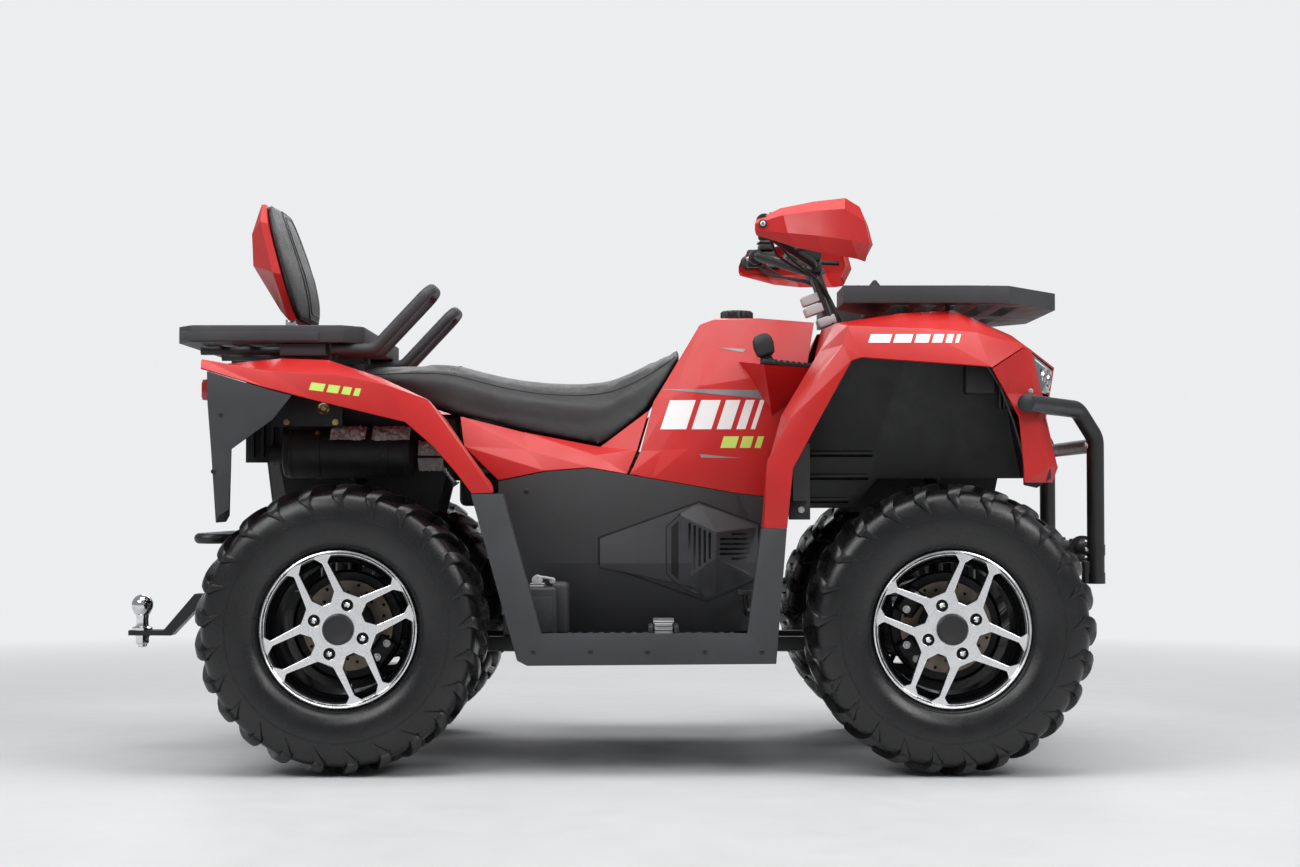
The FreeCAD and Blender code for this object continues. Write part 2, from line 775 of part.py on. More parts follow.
PITMAN_HALF = 22
foot = column_point(up(400))
pitman_end = foot + Vector(-math.cos(rake), 0, -math.sin(rake)) * value_of(S.pitman_length)
ROD_END_RADIUS, END_HALF = 12, 11
outer_ball = point(ARM_X, KINGPIN_Y, ROD_Z)
inner_ball = Vector(pitman_end.x, PITMAN_HALF, outer_ball.z)
lift = Vector(0, 0, 1)
tie_rod = joined(
    "tie_rod",
    bar("tie_bar", outer_ball, inner_ball, S.tie_rod_radius),
    bar_along(
        "tie_outer_end", "Z", ROD_Z - END_HALF, ARM_LOW - S.seat_gap, ARM_X, KINGPIN_Y,
        ROD_END_RADIUS,
    ),
    bar("tie_inner_end", inner_ball - lift * END_HALF, inner_ball + lift * END_HALF, ROD_END_RADIUS),
)
node("tie_rod_left", tie_rod)
node("tie_rod_right", mirrored(tie_rod))

reach = 0 - S.pitman_length
tip_half = PITMAN_HALF + ROD_END_RADIUS
pitman = prism("pitman_plate", "XY", -5, 5, [
    (22, -PITMAN_HALF), (22, PITMAN_HALF), (reach, tip_half), (reach - 12, tip_half),
    (reach - 12, -tip_half), (reach, -tip_half),
])
pitman.Placement = Placement(foot, Rotation(Vector(0, 0, 1), axis_up))
BAR_Z = up(1123)
column_top = column_point(BAR_Z)
above_bar = (column_top - point(along(480), 0, BAR_Z)).dot(axis_up)
column_top -= axis_up * (above_bar + value_of(S.handlebar_radius + S.seat_gap))
node("steering_column", joined(
    "steering_column_whole",
    bar("column", foot, column_top, S.column_radius),
    pitman,
    bar("column_boss", column_top - axis_up * 14, column_top, 24),
))
left_bar = [(480, 90, 1123), (368, 230, 1176), (350, 424, 1180)]
bar_path = across(left_bar)
node("handlebar", shape("handlebar_tube", bent_tube(bar_path, S.handlebar_radius, 40)))
bend_end, bar_end = point(*left_bar[1]), point(*left_bar[2])
BAR_BORE = (S.handlebar_radius + S.seat_gap) / FLAT_SHARE


def on_bar(share):
    """A point on the left grip's line, from the bend at 0 to the bar's end at 1."""
    return bend_end + (bar_end - bend_end) * share


def sleeve(name, start, end, radius):
    """A bored bar on the handlebar between two shares of the grip's line."""
    bore = bar(name + "_bore", on_bar(start - 0.05), on_bar(end + 0.05), BAR_BORE)
    return without(name, bar(name + "_outer", on_bar(start), on_bar(end), radius), bore)


both_sides("grips", sleeve("grip", 0.34, 0.93, S.grip_radius))
both_sides("hand_guards", shape("hand_guard", moulding([
    [(366, 424, 1150), (560, 395, 1102), (575, 265, 1096)],
    [(336, 432, 1180), (582, 408, 1166), (591, 255, 1160)],
    [(352, 424, 1212), (520, 404, 1231), (566, 262, 1216)],
], S.guard_wall)))
lever_bore = bar("lever_bore", on_bar(0), on_bar(0.4), BAR_BORE)
both_sides("control_levers", without("control_lever", joined(
    "lever_set",
    bar("perch", on_bar(0.12), on_bar(0.30), 19),
    box("perch_block", along(378), along(410), 256, 282, up(1163), up(1181)),
    bar("lever_blade", point(402, 268, 1172), point(424, 400, 1174), 6),
), lever_bore))
POD_HALF = 62
pod = [(430, 1133.5), (415, 1226), (452, 1236), (512, 1190), (500, 1133.5)]
pod_ends = [[(x, y, z) for x, z in pod] for y in (-POD_HALF, POD_HALF)]
node("instrument", shape("instrument_pod", faceted(pod_ends)))

# Body panels
WALL = S.panel_wall
UNDERSIDE = WALL * 10
tank_halves = [
    [(180, 0, 900), (180, 60, 900), (180, 130, 904), (112, 180, 800), (84, 216, 690), (60, 244, 638)],
    [(221, 0, 986), (221, 60, 986), (218, 112, 980), (160, 190, 815), (130, 222, 690), (110, 243, 628)],
    [(255, 0, 1000), (255, 60, 1000), (250, 112, 992), (215, 196, 835), (190, 226, 695), (180, 242, 616)],
    [(360, 0, 1000), (360, 60, 1000), (355, 112, 994), (335, 198, 855), (310, 226, 710), (300, 240, 595)],
    [(485, 0, 990), (484, 60, 990), (480, 112, 984), (455, 200, 860), (430, 224, 720), (400, 235, 584)],
]
tank = shape("tank_shell", moulding([across(half) for half in tank_halves], WALL))
node("tank_cover", tank)
both_sides("seat_side_covers", shape("seat_side_cover", moulding([
    [(-322, 186, 768), (-310, 226, 700), (-232, 246, 624)],
    [(-180, 174, 733), (-170, 214, 692), (-130, 246, 645)],
    [(-7, 172, 700), (-16, 214, 680), (-30, 246, 653)],
    [(102, 178, 782), (76, 216, 692), (54, 244, 638)],
], WALL)))
side_rows = [
    [(-232, 246, 621.3), (-235, 256, 440), (-190, 254, 292)],
    [(-130, 246, 642.3), (-130, 262, 440), (-120, 256, 286.3)],
    [(-30, 246, 650.3), (-30, 268, 440), (-30, 256, 286.3)],
    [(57, 244, 636.1), (57, 268, 440), (57, 256, 286.3)],
    [(110, 243, 626.7), (110, 268, 440), (110, 256, 286.3)],
    [(180, 242, 614.8), (180, 268, 440), (180, 256, 286.3)],
    [(300, 240, 593.8), (300, 262, 440), (300, 253, 290)],
    [(400, 235, 582.8), (372, 250, 440), (350, 250, 292)],
]
both_sides("side_panels", shape("side_panel", moulding(side_rows, WALL)))
behind_side_panel = shape("behind_side_panel", moulding(side_rows, UNDERSIDE))

# The engine hatch on each side panel: a raised cover, and on it a four-sided pyramid with a
# short upright ridge, whose rear face has upright louvres and whose front face has level ones
HATCH_WALL = 5
RIDGE_X, RIDGE_Y, RIDGE_HIGH, RIDGE_LOW = 251, 286, 509, 452
REAR_EDGE_X, REAR_EDGE_Y, REAR_EDGE_HIGH, REAR_EDGE_LOW = 173.5, 261, 545, 396
FRONT_EDGE_X, FRONT_EDGE_Y, FRONT_EDGE_HIGH, FRONT_EDGE_LOW = 338, 251, 519, 414
TIP_X = 214.4


def on_rear_face(x, edge_z, ridge_z):
    """A point on the pyramid's flat rear face, between an end of its edge and of the ridge."""
    share = (x - REAR_EDGE_X) / (RIDGE_X - REAR_EDGE_X)
    return x, REAR_EDGE_Y + (RIDGE_Y - REAR_EDGE_Y) * share, edge_z + (ridge_z - edge_z) * share


hatch = shape("hatch", moulding([
    [(-5.5, 265.2, 495), (-5.5, 271, 440), (-5.5, 270.4, 432)],
    [(214, 249.7, 573), (214, 269.3, 440), (214, 265.3, 385)],
    [(228, 249.8, 568), (228, 268.6, 440), (228, 262.9, 363)],
    [(345, 247.9, 525), (345, 257.5, 440), (345, 256.7, 408)],
], HATCH_WALL))
pyramid = shape("pyramid", moulding([
    [(REAR_EDGE_X, 258.2, 551), (REAR_EDGE_X, REAR_EDGE_Y, REAR_EDGE_HIGH),
     (REAR_EDGE_X, REAR_EDGE_Y, REAR_EDGE_LOW), (REAR_EDGE_X, 266.1, 390)],
    [(TIP_X, 248.7, 571), on_rear_face(TIP_X, REAR_EDGE_HIGH, RIDGE_HIGH),
     on_rear_face(TIP_X, REAR_EDGE_LOW, RIDGE_LOW), (TIP_X, 263.2, 371)],
    [(RIDGE_X, 249, 559), (RIDGE_X, RIDGE_Y, RIDGE_HIGH), (RIDGE_X, RIDGE_Y, RIDGE_LOW),
     (RIDGE_X, 262, 374)],
    [(FRONT_EDGE_X, 246.9, 527), (FRONT_EDGE_X, FRONT_EDGE_Y, FRONT_EDGE_HIGH),
     (FRONT_EDGE_X, FRONT_EDGE_Y, FRONT_EDGE_LOW), (FRONT_EDGE_X, 257, 407)],
], WALL))
LOUVRE_Y = (255, 300)
LOUVRE_FRAME = 6


def upright_louvre(i, x, width):
    """A cut in the pyramid's rear face, inside its frame."""
    high = on_rear_face(x + width, REAR_EDGE_HIGH, RIDGE_HIGH)[2] - LOUVRE_FRAME
    low = on_rear_face(x + width, REAR_EDGE_LOW, RIDGE_LOW)[2] + LOUVRE_FRAME
    return box(f"upright_louvre_{i}", along(x), along(x) + width, *LOUVRE_Y, up(low), up(high))


def level_louvre(i, x, z, height):
    """A cut in the pyramid's front face, from x to the frame."""
    end = along(FRONT_EDGE_X - LOUVRE_FRAME)
    return box(f"level_louvre_{i}", along(x), end, *LOUVRE_Y, up(z), up(z) + height)


LOUVRE_PITCH, LOUVRE_GAP = 11, 5.5
louvres = [upright_louvre(i, 190 + LOUVRE_PITCH * i, LOUVRE_GAP) for i in range(5)]
louvres += [
    level_louvre(i, x, 447 + LOUVRE_PITCH * i, LOUVRE_GAP)
    for i, x in enumerate((285, 259, 259, 259, 259, 285))
]
both_sides("side_grilles", without(
    "side_grille",
    joined("hatch_and_pyramid", hatch, without("pyramid_cut", pyramid, *louvres)),
    behind_side_panel,
))


def seat_section(x, low, high, low_half, mid_half, top_half):
    middle = high - (high - low) * 0.35
    half = [(low_half, low), (mid_half, middle), (top_half, high)]
    return [(x, y, z) for y, z in half] + [(x, 0 - y, z) for y, z in reversed(half)]


node("seat", shape("seat_cushion", faceted([
    seat_section(-572, 846, 884, 140, 150, 120),
    seat_section(-480, 816, 892, 156, 172, 140),
    seat_section(-322, 768.4, 880, 185.6, 184, 142),
    seat_section(-180, 733.4, 849, 173.6, 176, 128),
    seat_section(-52, 709.1, 845, 172.1, 172, 120),
    seat_section(-7, 700.4, 855, 171.6, 168, 114),
    seat_section(92, 775, 888, 164, 156, 106),
    seat_section(176, 898, 922, 116, 114, 100),
])))

rear_fender = [
    [(-800, 160, 862), (-820, 360, 876), (-844, 488, 878), (-842, 505, 858)],
    [(-700, 160, 862), (-690, 385, 886), (-700, 492, 852), (-700, 506, 816)],
    [(-590, 160, 842), (-590, 395, 882), (-560, 496, 846), (-600, 507, 790)],
    [(-470, 182, 800), (-480, 392, 846), (-450, 500, 822), (-410, 508, 744)],
    [(-352, 190, 760), (-372, 372, 794), (-364, 496, 792), (-350, 508, 692)],
    [(-318, 230, 690), (-300, 372, 700), (-290, 500, 690), (-300, 508, 634)],
    [(-250, 248, 622), (-235, 372, 610), (-224, 500, 595.4), (-270, 508, 593.8)],
]
both_sides("rear_fenders", shape("rear_fender", moulding(rear_fender, WALL)))
under_rear_fender = shape("under_rear_fender", moulding(rear_fender, UNDERSIDE))

FLAP_CLEARANCE, FLAP_LOW, FLAP_HIGH = 35, 532, 560


def flap_x(z):
    """How far back a mud flap must be at a height to clear the tyre."""
    gap = value_of(S.tyre_radius) + FLAP_CLEARANCE
    return X_REAR - math.sqrt(gap ** 2 - (z - DRAWN_RADIUS) ** 2)


flap_back = flap_x(FLAP_LOW)
both_sides("tail_panels", shape("tail_panel", moulding([
    [(-650, 506.5, 799.8), (-700, 506, 812.6), (-829, 505, 850.6), (-837, 300, 850), (-837, 150, 850)],
    [(-690, 502, 750), (-720, 502, 752), (-828, 502, 784), (-837, 300, 780), (-837, 170, 780)],
    [(-777, 500, 687), (-790, 500, 686), (-820, 500, 683), (-832, 320, 683), (-832, 230, 690)],
    [(flap_x(FLAP_HIGH), 497, FLAP_HIGH), (flap_back + 6, 498, 546), (flap_back, 498, FLAP_LOW),
     (flap_back - 14, 330, FLAP_LOW), (flap_back - 14, 290, 545)],
], WALL)))
LAMP_DEPTH, LAMP_LOW, LAMP_HIGH = 15, 792, 836
both_sides("tail_lamps", shape("tail_lamp", faceted([
    [(x - LAMP_DEPTH, y, LAMP_LOW), (x, y, LAMP_LOW), (x, y, LAMP_HIGH), (x - LAMP_DEPTH, y, LAMP_HIGH)]
    for x, y in ((-836.2, 330), (-830.8, 470))
])))

front_fender = [
    [(352, 254, 520.3), (345, 400, 520.3), (345, 500, 520.3), (393, 508, 520.3)],
    [(372, 250, 640), (354, 400, 640), (352, 500, 662), (406, 508, 647)],
    [(400, 240, 760), (388, 400, 762), (400, 498, 752), (455, 508, 738)],
    [(470, 215, 880), (470, 390, 900), (512, 488, 908), (529, 508, 874)],
    [(500, 62, 972), (506, 385, 962), (524, 474, 950), (551, 508, 881)],
    [(640, 0, 985), (650, 372, 985), (680, 470, 945), (690, 508, 871)],
    [(768, 0, 992), (768, 350, 993), (800, 462, 936), (821, 508, 862)],
    [(900, 0, 944), (896, 330, 940), (904, 440, 908), (826, 508, 860)],
]
fender_left = shape("fender_left", moulding(front_fender, WALL))
node("front_fender", joined("front_fender_whole", fender_left, mirrored(fender_left)))
under_front_fender = shape("under_front_fender", moulding(front_fender, UNDERSIDE))
both_sides("front_fender_legs", shape("front_fender_leg", moulding([
    [(925, 421, 899.6), (904.8, 441, 904.4), (827.5, 507.5, 856)],
    [(953, 392, 806), (926, 430, 806), (862, 470, 806)],
    [(956, 392, 753), (936, 430, 753), (890, 470, 757)],
    [(985, 392, 650), (958, 430, 650), (899, 470, 650)],
    [(973, 392, 617), (948, 430, 617), (900, 470, 617)],
], WALL)))
brow = shape("brow", moulding([
    [(897, 328, 939.4), (904, 436, 908)],
    [(1004, 250, 874), (923, 415, 903.4)],
], WALL))
cheek = shape("cheek", moulding([
    [(993, 246, 806), (956, 389, 803)],
    [(986.2, 246, 765), (958, 389, 757)],
    [(955.2, 236, 640), (985, 389, 648)],
], WALL))
fascia_front = shape("fascia_front", moulding([
    across([(901, 0, 943.2), (897, 330, 939.2)]),
    across([(1008, 0, 882), (1004, 250, 874)]),
    across([(992, 0, 770), (986, 250, 765)]),
    across([(962, 0, 640), (955, 240, 640)]),
], WALL))
node("front_fascia", joined(
    "front_fascia_whole", fascia_front, brow, mirrored(brow), cheek, mirrored(cheek),
))
both_sides("headlamps", shape("headlamp", faceted([
    [(1001, 252.5, 867), (992, 252.5, 812), (948, 254, 812), (950, 256, 862)],
    [(924, 416, 896), (951, 391, 812), (925, 387, 812), (905, 410, 884)],
])))

# Inner fenders: a moulded arch over each front wheel, and a ribbed wall between wheel and frame
arch = shape("liner_arch", moulding([
    [(368, 488, 530), (368, 400, 526), (372, 258, 526)],
    [(378, 488, 650), (376, 400, 648), (386, 240, 650)],
    [(414, 488, 757), (408, 400, 762), (418, 239, 762)],
    [(500, 488, 868), (490, 400, 884), (500, 239, 876)],
    [(560, 488, 884), (556, 400, 925), (560, 239, 925)],
    [(690, 488, 876), (690, 400, 945), (690, 239, 945)],
    [(815, 478, 868), (805, 400, 925), (805, 239, 925)],
    [(850, 455, 818), (890, 390, 838), (893, 239, 838)],
    [(880, 440, 745), (905, 385, 745), (906, 239, 745)],
    [(912, 440, 628), (930, 385, 628), (930, 239, 628)],
], WALL))
liner_wall = prism("liner_wall", "XZ", LINER_IN, LINER_OUT, placed([
    (404, 562), (404, 592), (386, 592), (384, 650), (416, 764), (498, 878), (558, 927), (690, 947),
    (807, 927), (895, 840), (908, 745), (932, 628), (610, 628), (560, 562),
]))
RIB_DEPTH = 16
ribs = [
    prism(f"liner_rib_{i}", "YZ", along(445), along(end), [
        (LINER_OUT - 1, up(z - 9)), (LINER_OUT + RIB_DEPTH, up(z - 3)),
        (LINER_OUT + RIB_DEPTH, up(z + 3)), (LINER_OUT - 1, up(z + 6)),
    ])
    for i, (z, end) in enumerate(((581, 545), (633, 590), (684, 600)))
]
both_sides("front_liners", joined("front_liner", arch, liner_wall, *ribs))

both_sides("footwell_skirts", shape("footwell_skirt", moulding([
    [(-206, 452, 593.4), (-206, 500, 593.4), (-272, 507, 592.4), (-272, 470, 592.4)],
    [(-124, 452, 296), (-124, 500, 298), (-174, 508, 243), (-174, 470, 243)],
    [(-104, 452, 290.3), (-104, 500, 300), (-153, 508, 232), (-153, 470, 232)],
    [(310, 452, 290.3), (310, 500, 300), (370, 508, 236), (370, 470, 236)],
    [(340, 452, 520), (340, 500, 520), (393, 507, 520), (393, 470, 520)],
], WALL)))
BOARD_INNER = 250
both_sides("footboards", box(
    "footboard", along(-118), along(300), BOARD_INNER, BOARD_OUT - S.seat_gap,
    FLOOR_Z - 2 * BOARD_HALF, FLOOR_Z,
))
PEG_RADIUS = 15
both_sides(
    "foot_pegs",
    bar_along("rider_peg", "Y", 300, 440, along(133), FLOOR_Z + PEG_RADIUS, PEG_RADIUS),
    box("step_block", along(-100) - 60, along(-100) + 29, 300, 400, FLOOR_Z + S.seat_gap, FLOOR_Z + 116),
    bar_along("step_peg", "Y", 300, 420, along(-100) - 18, FLOOR_Z + 129, 13),
)

# Racks
RACK_HALF = S.rack_half_width
FRONT_RACK_LOW, REAR_RACK_LOW = up(1007), up(921)
SLOT_INNER = 40


def slots(start, pitch, width, ends):
    """Pairs of slots to left and right, with their outer ends by row."""
    made = []
    for i, end in enumerate(ends):
        x = along(start + i * pitch)
        for side in (-1, 1):
            inner, outer = SLOT_INNER * side, end * side
            made.append([(x, inner), (x + width, inner), (x + width, outer), (x, outer)])
    return made


def both_halves(half):
    """A closed outline from the half that runs from the centre line over the left side."""
    return half + [(x, 0 - y) for x, y in reversed(half[1:-1])]


front_outline = both_halves([
    (along(1018), 0), (along(1018), 190), (along(884), RACK_HALF - 8), (along(800), RACK_HALF),
    (along(524), RACK_HALF), (along(524), 210), (along(604), 60), (along(604), 0),
])
front_frame = prism(
    "front_rack_frame", "XY", FRONT_RACK_LOW, FRONT_RACK_LOW + S.rack_thickness, front_outline,
    *slots(640, 62, 34, (330, 330, 330, 330, 270)),
)


def rack_post(x):
    """A post from the front fender up to the rack."""
    post = bar_along(f"rack_post_bar_{x}", "Z", up(970), FRONT_RACK_LOW, along(x), 300, 11)
    return without(f"rack_post_{x}", post, under_front_fender)


rack_posts = [rack_post(660), rack_post(765)]
far_posts = [mirrored(p) for p in rack_posts]
node("front_rack", joined("front_rack_whole", front_frame, *rack_posts, *far_posts))
rear_outline = both_halves([
    (along(-926), 0), (along(-926), RACK_HALF - 50), (along(-890), RACK_HALF), (along(-560), RACK_HALF),
    (along(-520), RACK_HALF - 50), (along(-520), 0),
])
rear_frame = prism(
    "rear_rack_frame", "XY", REAR_RACK_LOW, REAR_RACK_LOW + S.rack_thickness, rear_outline,
    *slots(-880, 66, 36, (310, 330, 330, 330, 310)),
)
bracket_block = box("rack_bracket_block", along(-700), along(-600), 260, 320, up(850), REAR_RACK_LOW)
bracket = without("rack_bracket", bracket_block, under_rear_fender)
node("rear_rack", joined("rear_rack_whole", rear_frame, bracket, mirrored(bracket)))
grab_z = REAR_RACK_LOW - S.grab_radius
both_sides("grab_handles", shape("grab_handle", bent_tube([
    (-590, 345, grab_z), (-498, 345, grab_z), (-374, 345, 1041),
    (-374, 225, 1041), (-498, 225, grab_z), (-590, 225, grab_z),
], S.grab_radius, 28)))

# Backrest
SHELL_HALF, PAD_HALF = 205, 198
shell_front = [(-700, 990), (-772, 1120), (-774, 1176), (-758, 1248)]
shell_back = [(-772, 1246), (-790, 1180), (-788, 1110), (-722, 986)]
pad_front = [(-690, 1248), (-654, 1190), (-648, 1100), (-664, 1010)]

shell_outline = placed(shell_back + shell_front)
shell = node("backrest_shell", prism("shell", "XZ", -SHELL_HALF, SHELL_HALF, shell_outline))
pad_outline = placed(shell_front, S.seat_gap) + placed(pad_front)
cushion = node("backrest_pad", prism("cushion", "XZ", -PAD_HALF, PAD_HALF, pad_outline))
rack_top = REAR_RACK_LOW + S.rack_thickness
back_post = bar_along("back_post_bar", "Z", rack_top, up(1000), along(-716), 120, S.post_radius)
post_trim = box("back_post_trim", along(-760), along(-690), 80, 160, up(992), up(1060))
both_sides("backrest_posts", without("backrest_post", back_post, shell, cushion, post_trim))

# Bars and hitch
BUMPER_X = X_FRONT + S.front_overhang - S.bullbar_radius
BUMPER_Y = 290
hoop = shape("bullbar_hoop", bent_tube([
    (896, 508, 784), (1040, 324, 778), (BUMPER_X, BUMPER_Y, 716), (BUMPER_X, BUMPER_Y, 400),
], S.bullbar_radius, 40, 10))
bullbar_crosses = [
    bar_along(f"bullbar_cross_{z}", "Y", -BUMPER_Y, BUMPER_Y, BUMPER_X, up(z), 16) for z in (700, 470)
]
brace_foot = point(RAIL_FRONT - 8, RAIL_Y, RAIL_TOP - 8)
brace_bar = bar("bullbar_brace_bar", point(BUMPER_X, RAIL_Y, 470), brace_foot, TUBE)
brace = without("bullbar_brace", brace_bar, rail)
node("bullbar", joined("bullbar_whole", hoop, mirrored(hoop), *bullbar_crosses, brace, mirrored(brace)))
bumper_path = across([(-906, 292, 494), (-812, 150, 494), (-636, 116, 494)])
bumper_tube = shape("rear_bumper_tube", bent_tube(bumper_path, S.bumper_radius, 30))
node("rear_bumper", without("rear_bumper_loop", bumper_tube, *left_parts, *right_parts))

REAR_END = X_REAR - S.rear_overhang
RECEIVER_LOW, RECEIVER_HIGH = up(324), up(368)
RECEIVER_WALL = 5.7
RECEIVER_HALF = 31
bar_half = RECEIVER_HALF - RECEIVER_WALL - S.seat_gap
inner_half = RECEIVER_HALF - RECEIVER_WALL
inner_low, inner_high = RECEIVER_LOW + RECEIVER_WALL, RECEIVER_HIGH - RECEIVER_WALL


def upright_box(half, low, high):
    """A rectangle across the centre line, seen from behind."""
    return [(0 - half, low), (half, low), (half, high), (0 - half, high)]


node("hitch_receiver", prism(
    "receiver", "YZ", REAR_END + 205, X_REAR - 60 - S.seat_gap,
    upright_box(RECEIVER_HALF, RECEIVER_LOW, RECEIVER_HIGH),
    upright_box(inner_half, inner_low, inner_high),
))
bar_low, bar_high = inner_low + S.seat_gap, inner_high - S.seat_gap
PLATE_LOW, PLATE_HIGH = up(265.5), up(277.5)
BAR_FRONT = X_REAR - 150
mount = prism("ball_mount", "XZ", 0 - bar_half, bar_half, [
    (REAR_END, PLATE_LOW), (REAR_END, PLATE_HIGH), (REAR_END + 81, PLATE_HIGH),
    (REAR_END + 153, bar_high), (BAR_FRONT, bar_high), (BAR_FRONT, bar_low),
    (REAR_END + 161, bar_low), (REAR_END + 99, PLATE_LOW),
])
BALL_X, BALL_Z = REAR_END + 27, up(335)
ball_radius = value_of(S.tow_ball_radius)
BALL_STEPS = 6
ball_profile = [
    (ball_radius * math.sin(a), ball_radius * math.cos(a))
    for a in (math.pi * (k / BALL_STEPS - 0.5) for k in range(1, BALL_STEPS))
]
ball = place(shape("ball", turned(ball_profile, 12)), BALL_X, 0, BALL_Z)
node("tow_hitch", joined(
    "tow_hitch_whole", mount, ball,
    bar_along("ball_neck", "Z", PLATE_HIGH - 1, BALL_Z, BALL_X, 0, 14),
    bar_along("ball_nut", "Z", up(238), PLATE_LOW + 1, BALL_X, 0, 17, 6),
))

# Silencer, fuel cap and gear selector
can_axis = (-245, up(682))
can_back = along(-708)
hanger = box(
    "hanger", along(-625), along(-600), -215, 0 - RAIL_Y - TUBE, TOP_TUBE_Z - 4, TOP_TUBE_Z + 6
)
node("silencer", joined(
    "silencer_whole",
    bar_along("silencer_can", "X", can_back, along(-411), *can_axis, S.silencer_radius, ROUND_SIDES),
    bar_along("tail_pipe", "X", can_back - 32, can_back + 8, *can_axis, 20),
    hanger,
))
cap_low = up(1000) + S.seat_gap
node("fuel_cap", bar_along("fuel_cap_disc", "Z", cap_low, up(1022), along(308), 0, 38, ROUND_SIDES))
selector = joined(
    "selector",
    box("gate", along(320), along(440), -300, -199, up(858), up(872)),
    bar("stalk", point(370, -262, 870), point(356, -264, 905), 6),
    bar("knob", point(357, -264, 893), point(352, -266, 944), 18),
)
node("gear_selector", without("gear_selector_cut", selector, tank))

doc.recompute()

# Every object must be sound before anything is written
for item in doc.Objects:
    if "Invalid" in item.State or "Error" in item.State:
        raise ValueError(f"{item.Label}: {item.State}")
    if hasattr(item, "Shape") and item.TypeId != "Sketcher::SketchObject":
        if item.Shape.isNull() or not item.Shape.isValid():
            raise ValueError(f"{item.Label}: no valid shape")

os.makedirs("parts", exist_ok=True)
for item in nodes:
    item.Shape.exportStep(f"parts/{item.Label}.step")
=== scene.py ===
"""The look of a two-seat utility quad bike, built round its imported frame.

Forward is +X, left is +Y, and the photograph looks along +Y at the right side. Points are vectors
in metres. Sizes and tables are in millimetres, and mm() turns the one into the other."""
import json
import math

import bmesh
import bpy
from mathutils import Matrix, Vector, noise
from mathutils.bvhtree import BVHTree

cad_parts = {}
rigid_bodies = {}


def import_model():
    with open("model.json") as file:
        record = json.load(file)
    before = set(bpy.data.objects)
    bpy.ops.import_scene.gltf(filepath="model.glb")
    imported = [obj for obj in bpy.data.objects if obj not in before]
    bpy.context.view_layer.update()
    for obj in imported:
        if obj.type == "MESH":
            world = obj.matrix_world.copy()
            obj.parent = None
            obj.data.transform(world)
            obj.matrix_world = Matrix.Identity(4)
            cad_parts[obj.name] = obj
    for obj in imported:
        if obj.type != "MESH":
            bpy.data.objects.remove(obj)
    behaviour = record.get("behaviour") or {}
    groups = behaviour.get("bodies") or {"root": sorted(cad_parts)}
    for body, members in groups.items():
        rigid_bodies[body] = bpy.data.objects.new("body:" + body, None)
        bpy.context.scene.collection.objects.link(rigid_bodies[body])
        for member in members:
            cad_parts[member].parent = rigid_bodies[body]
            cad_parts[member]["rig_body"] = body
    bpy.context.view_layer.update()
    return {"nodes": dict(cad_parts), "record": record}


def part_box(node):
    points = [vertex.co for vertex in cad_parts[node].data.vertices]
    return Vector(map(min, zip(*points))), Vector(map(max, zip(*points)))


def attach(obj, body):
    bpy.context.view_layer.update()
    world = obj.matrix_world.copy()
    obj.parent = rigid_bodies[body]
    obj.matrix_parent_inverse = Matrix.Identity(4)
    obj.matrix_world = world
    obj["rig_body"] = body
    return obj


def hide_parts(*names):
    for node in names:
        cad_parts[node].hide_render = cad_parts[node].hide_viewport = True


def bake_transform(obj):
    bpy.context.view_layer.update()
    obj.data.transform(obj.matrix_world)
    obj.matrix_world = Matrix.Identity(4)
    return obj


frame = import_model()
NODES = frame["nodes"]
MM = 0.001

# Places read from the frame
WHEEL_PLACES = ("front_left", "front_right", "rear_left", "rear_right")
WHEEL_CENTRES = {place: sum(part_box(f"tyre_{place}"), Vector()) / 2 for place in WHEEL_PLACES}
AXLE_FRONT = WHEEL_CENTRES["front_left"].x
AXLE_REAR = WHEEL_CENTRES["rear_left"].x
AXLE_Z = WHEEL_CENTRES["front_left"].z
TYRE_RADIUS = AXLE_Z


def mm(x, y, z):
    """A point of the frame, given in millimetres."""
    return Vector((x, y, z)) * MM


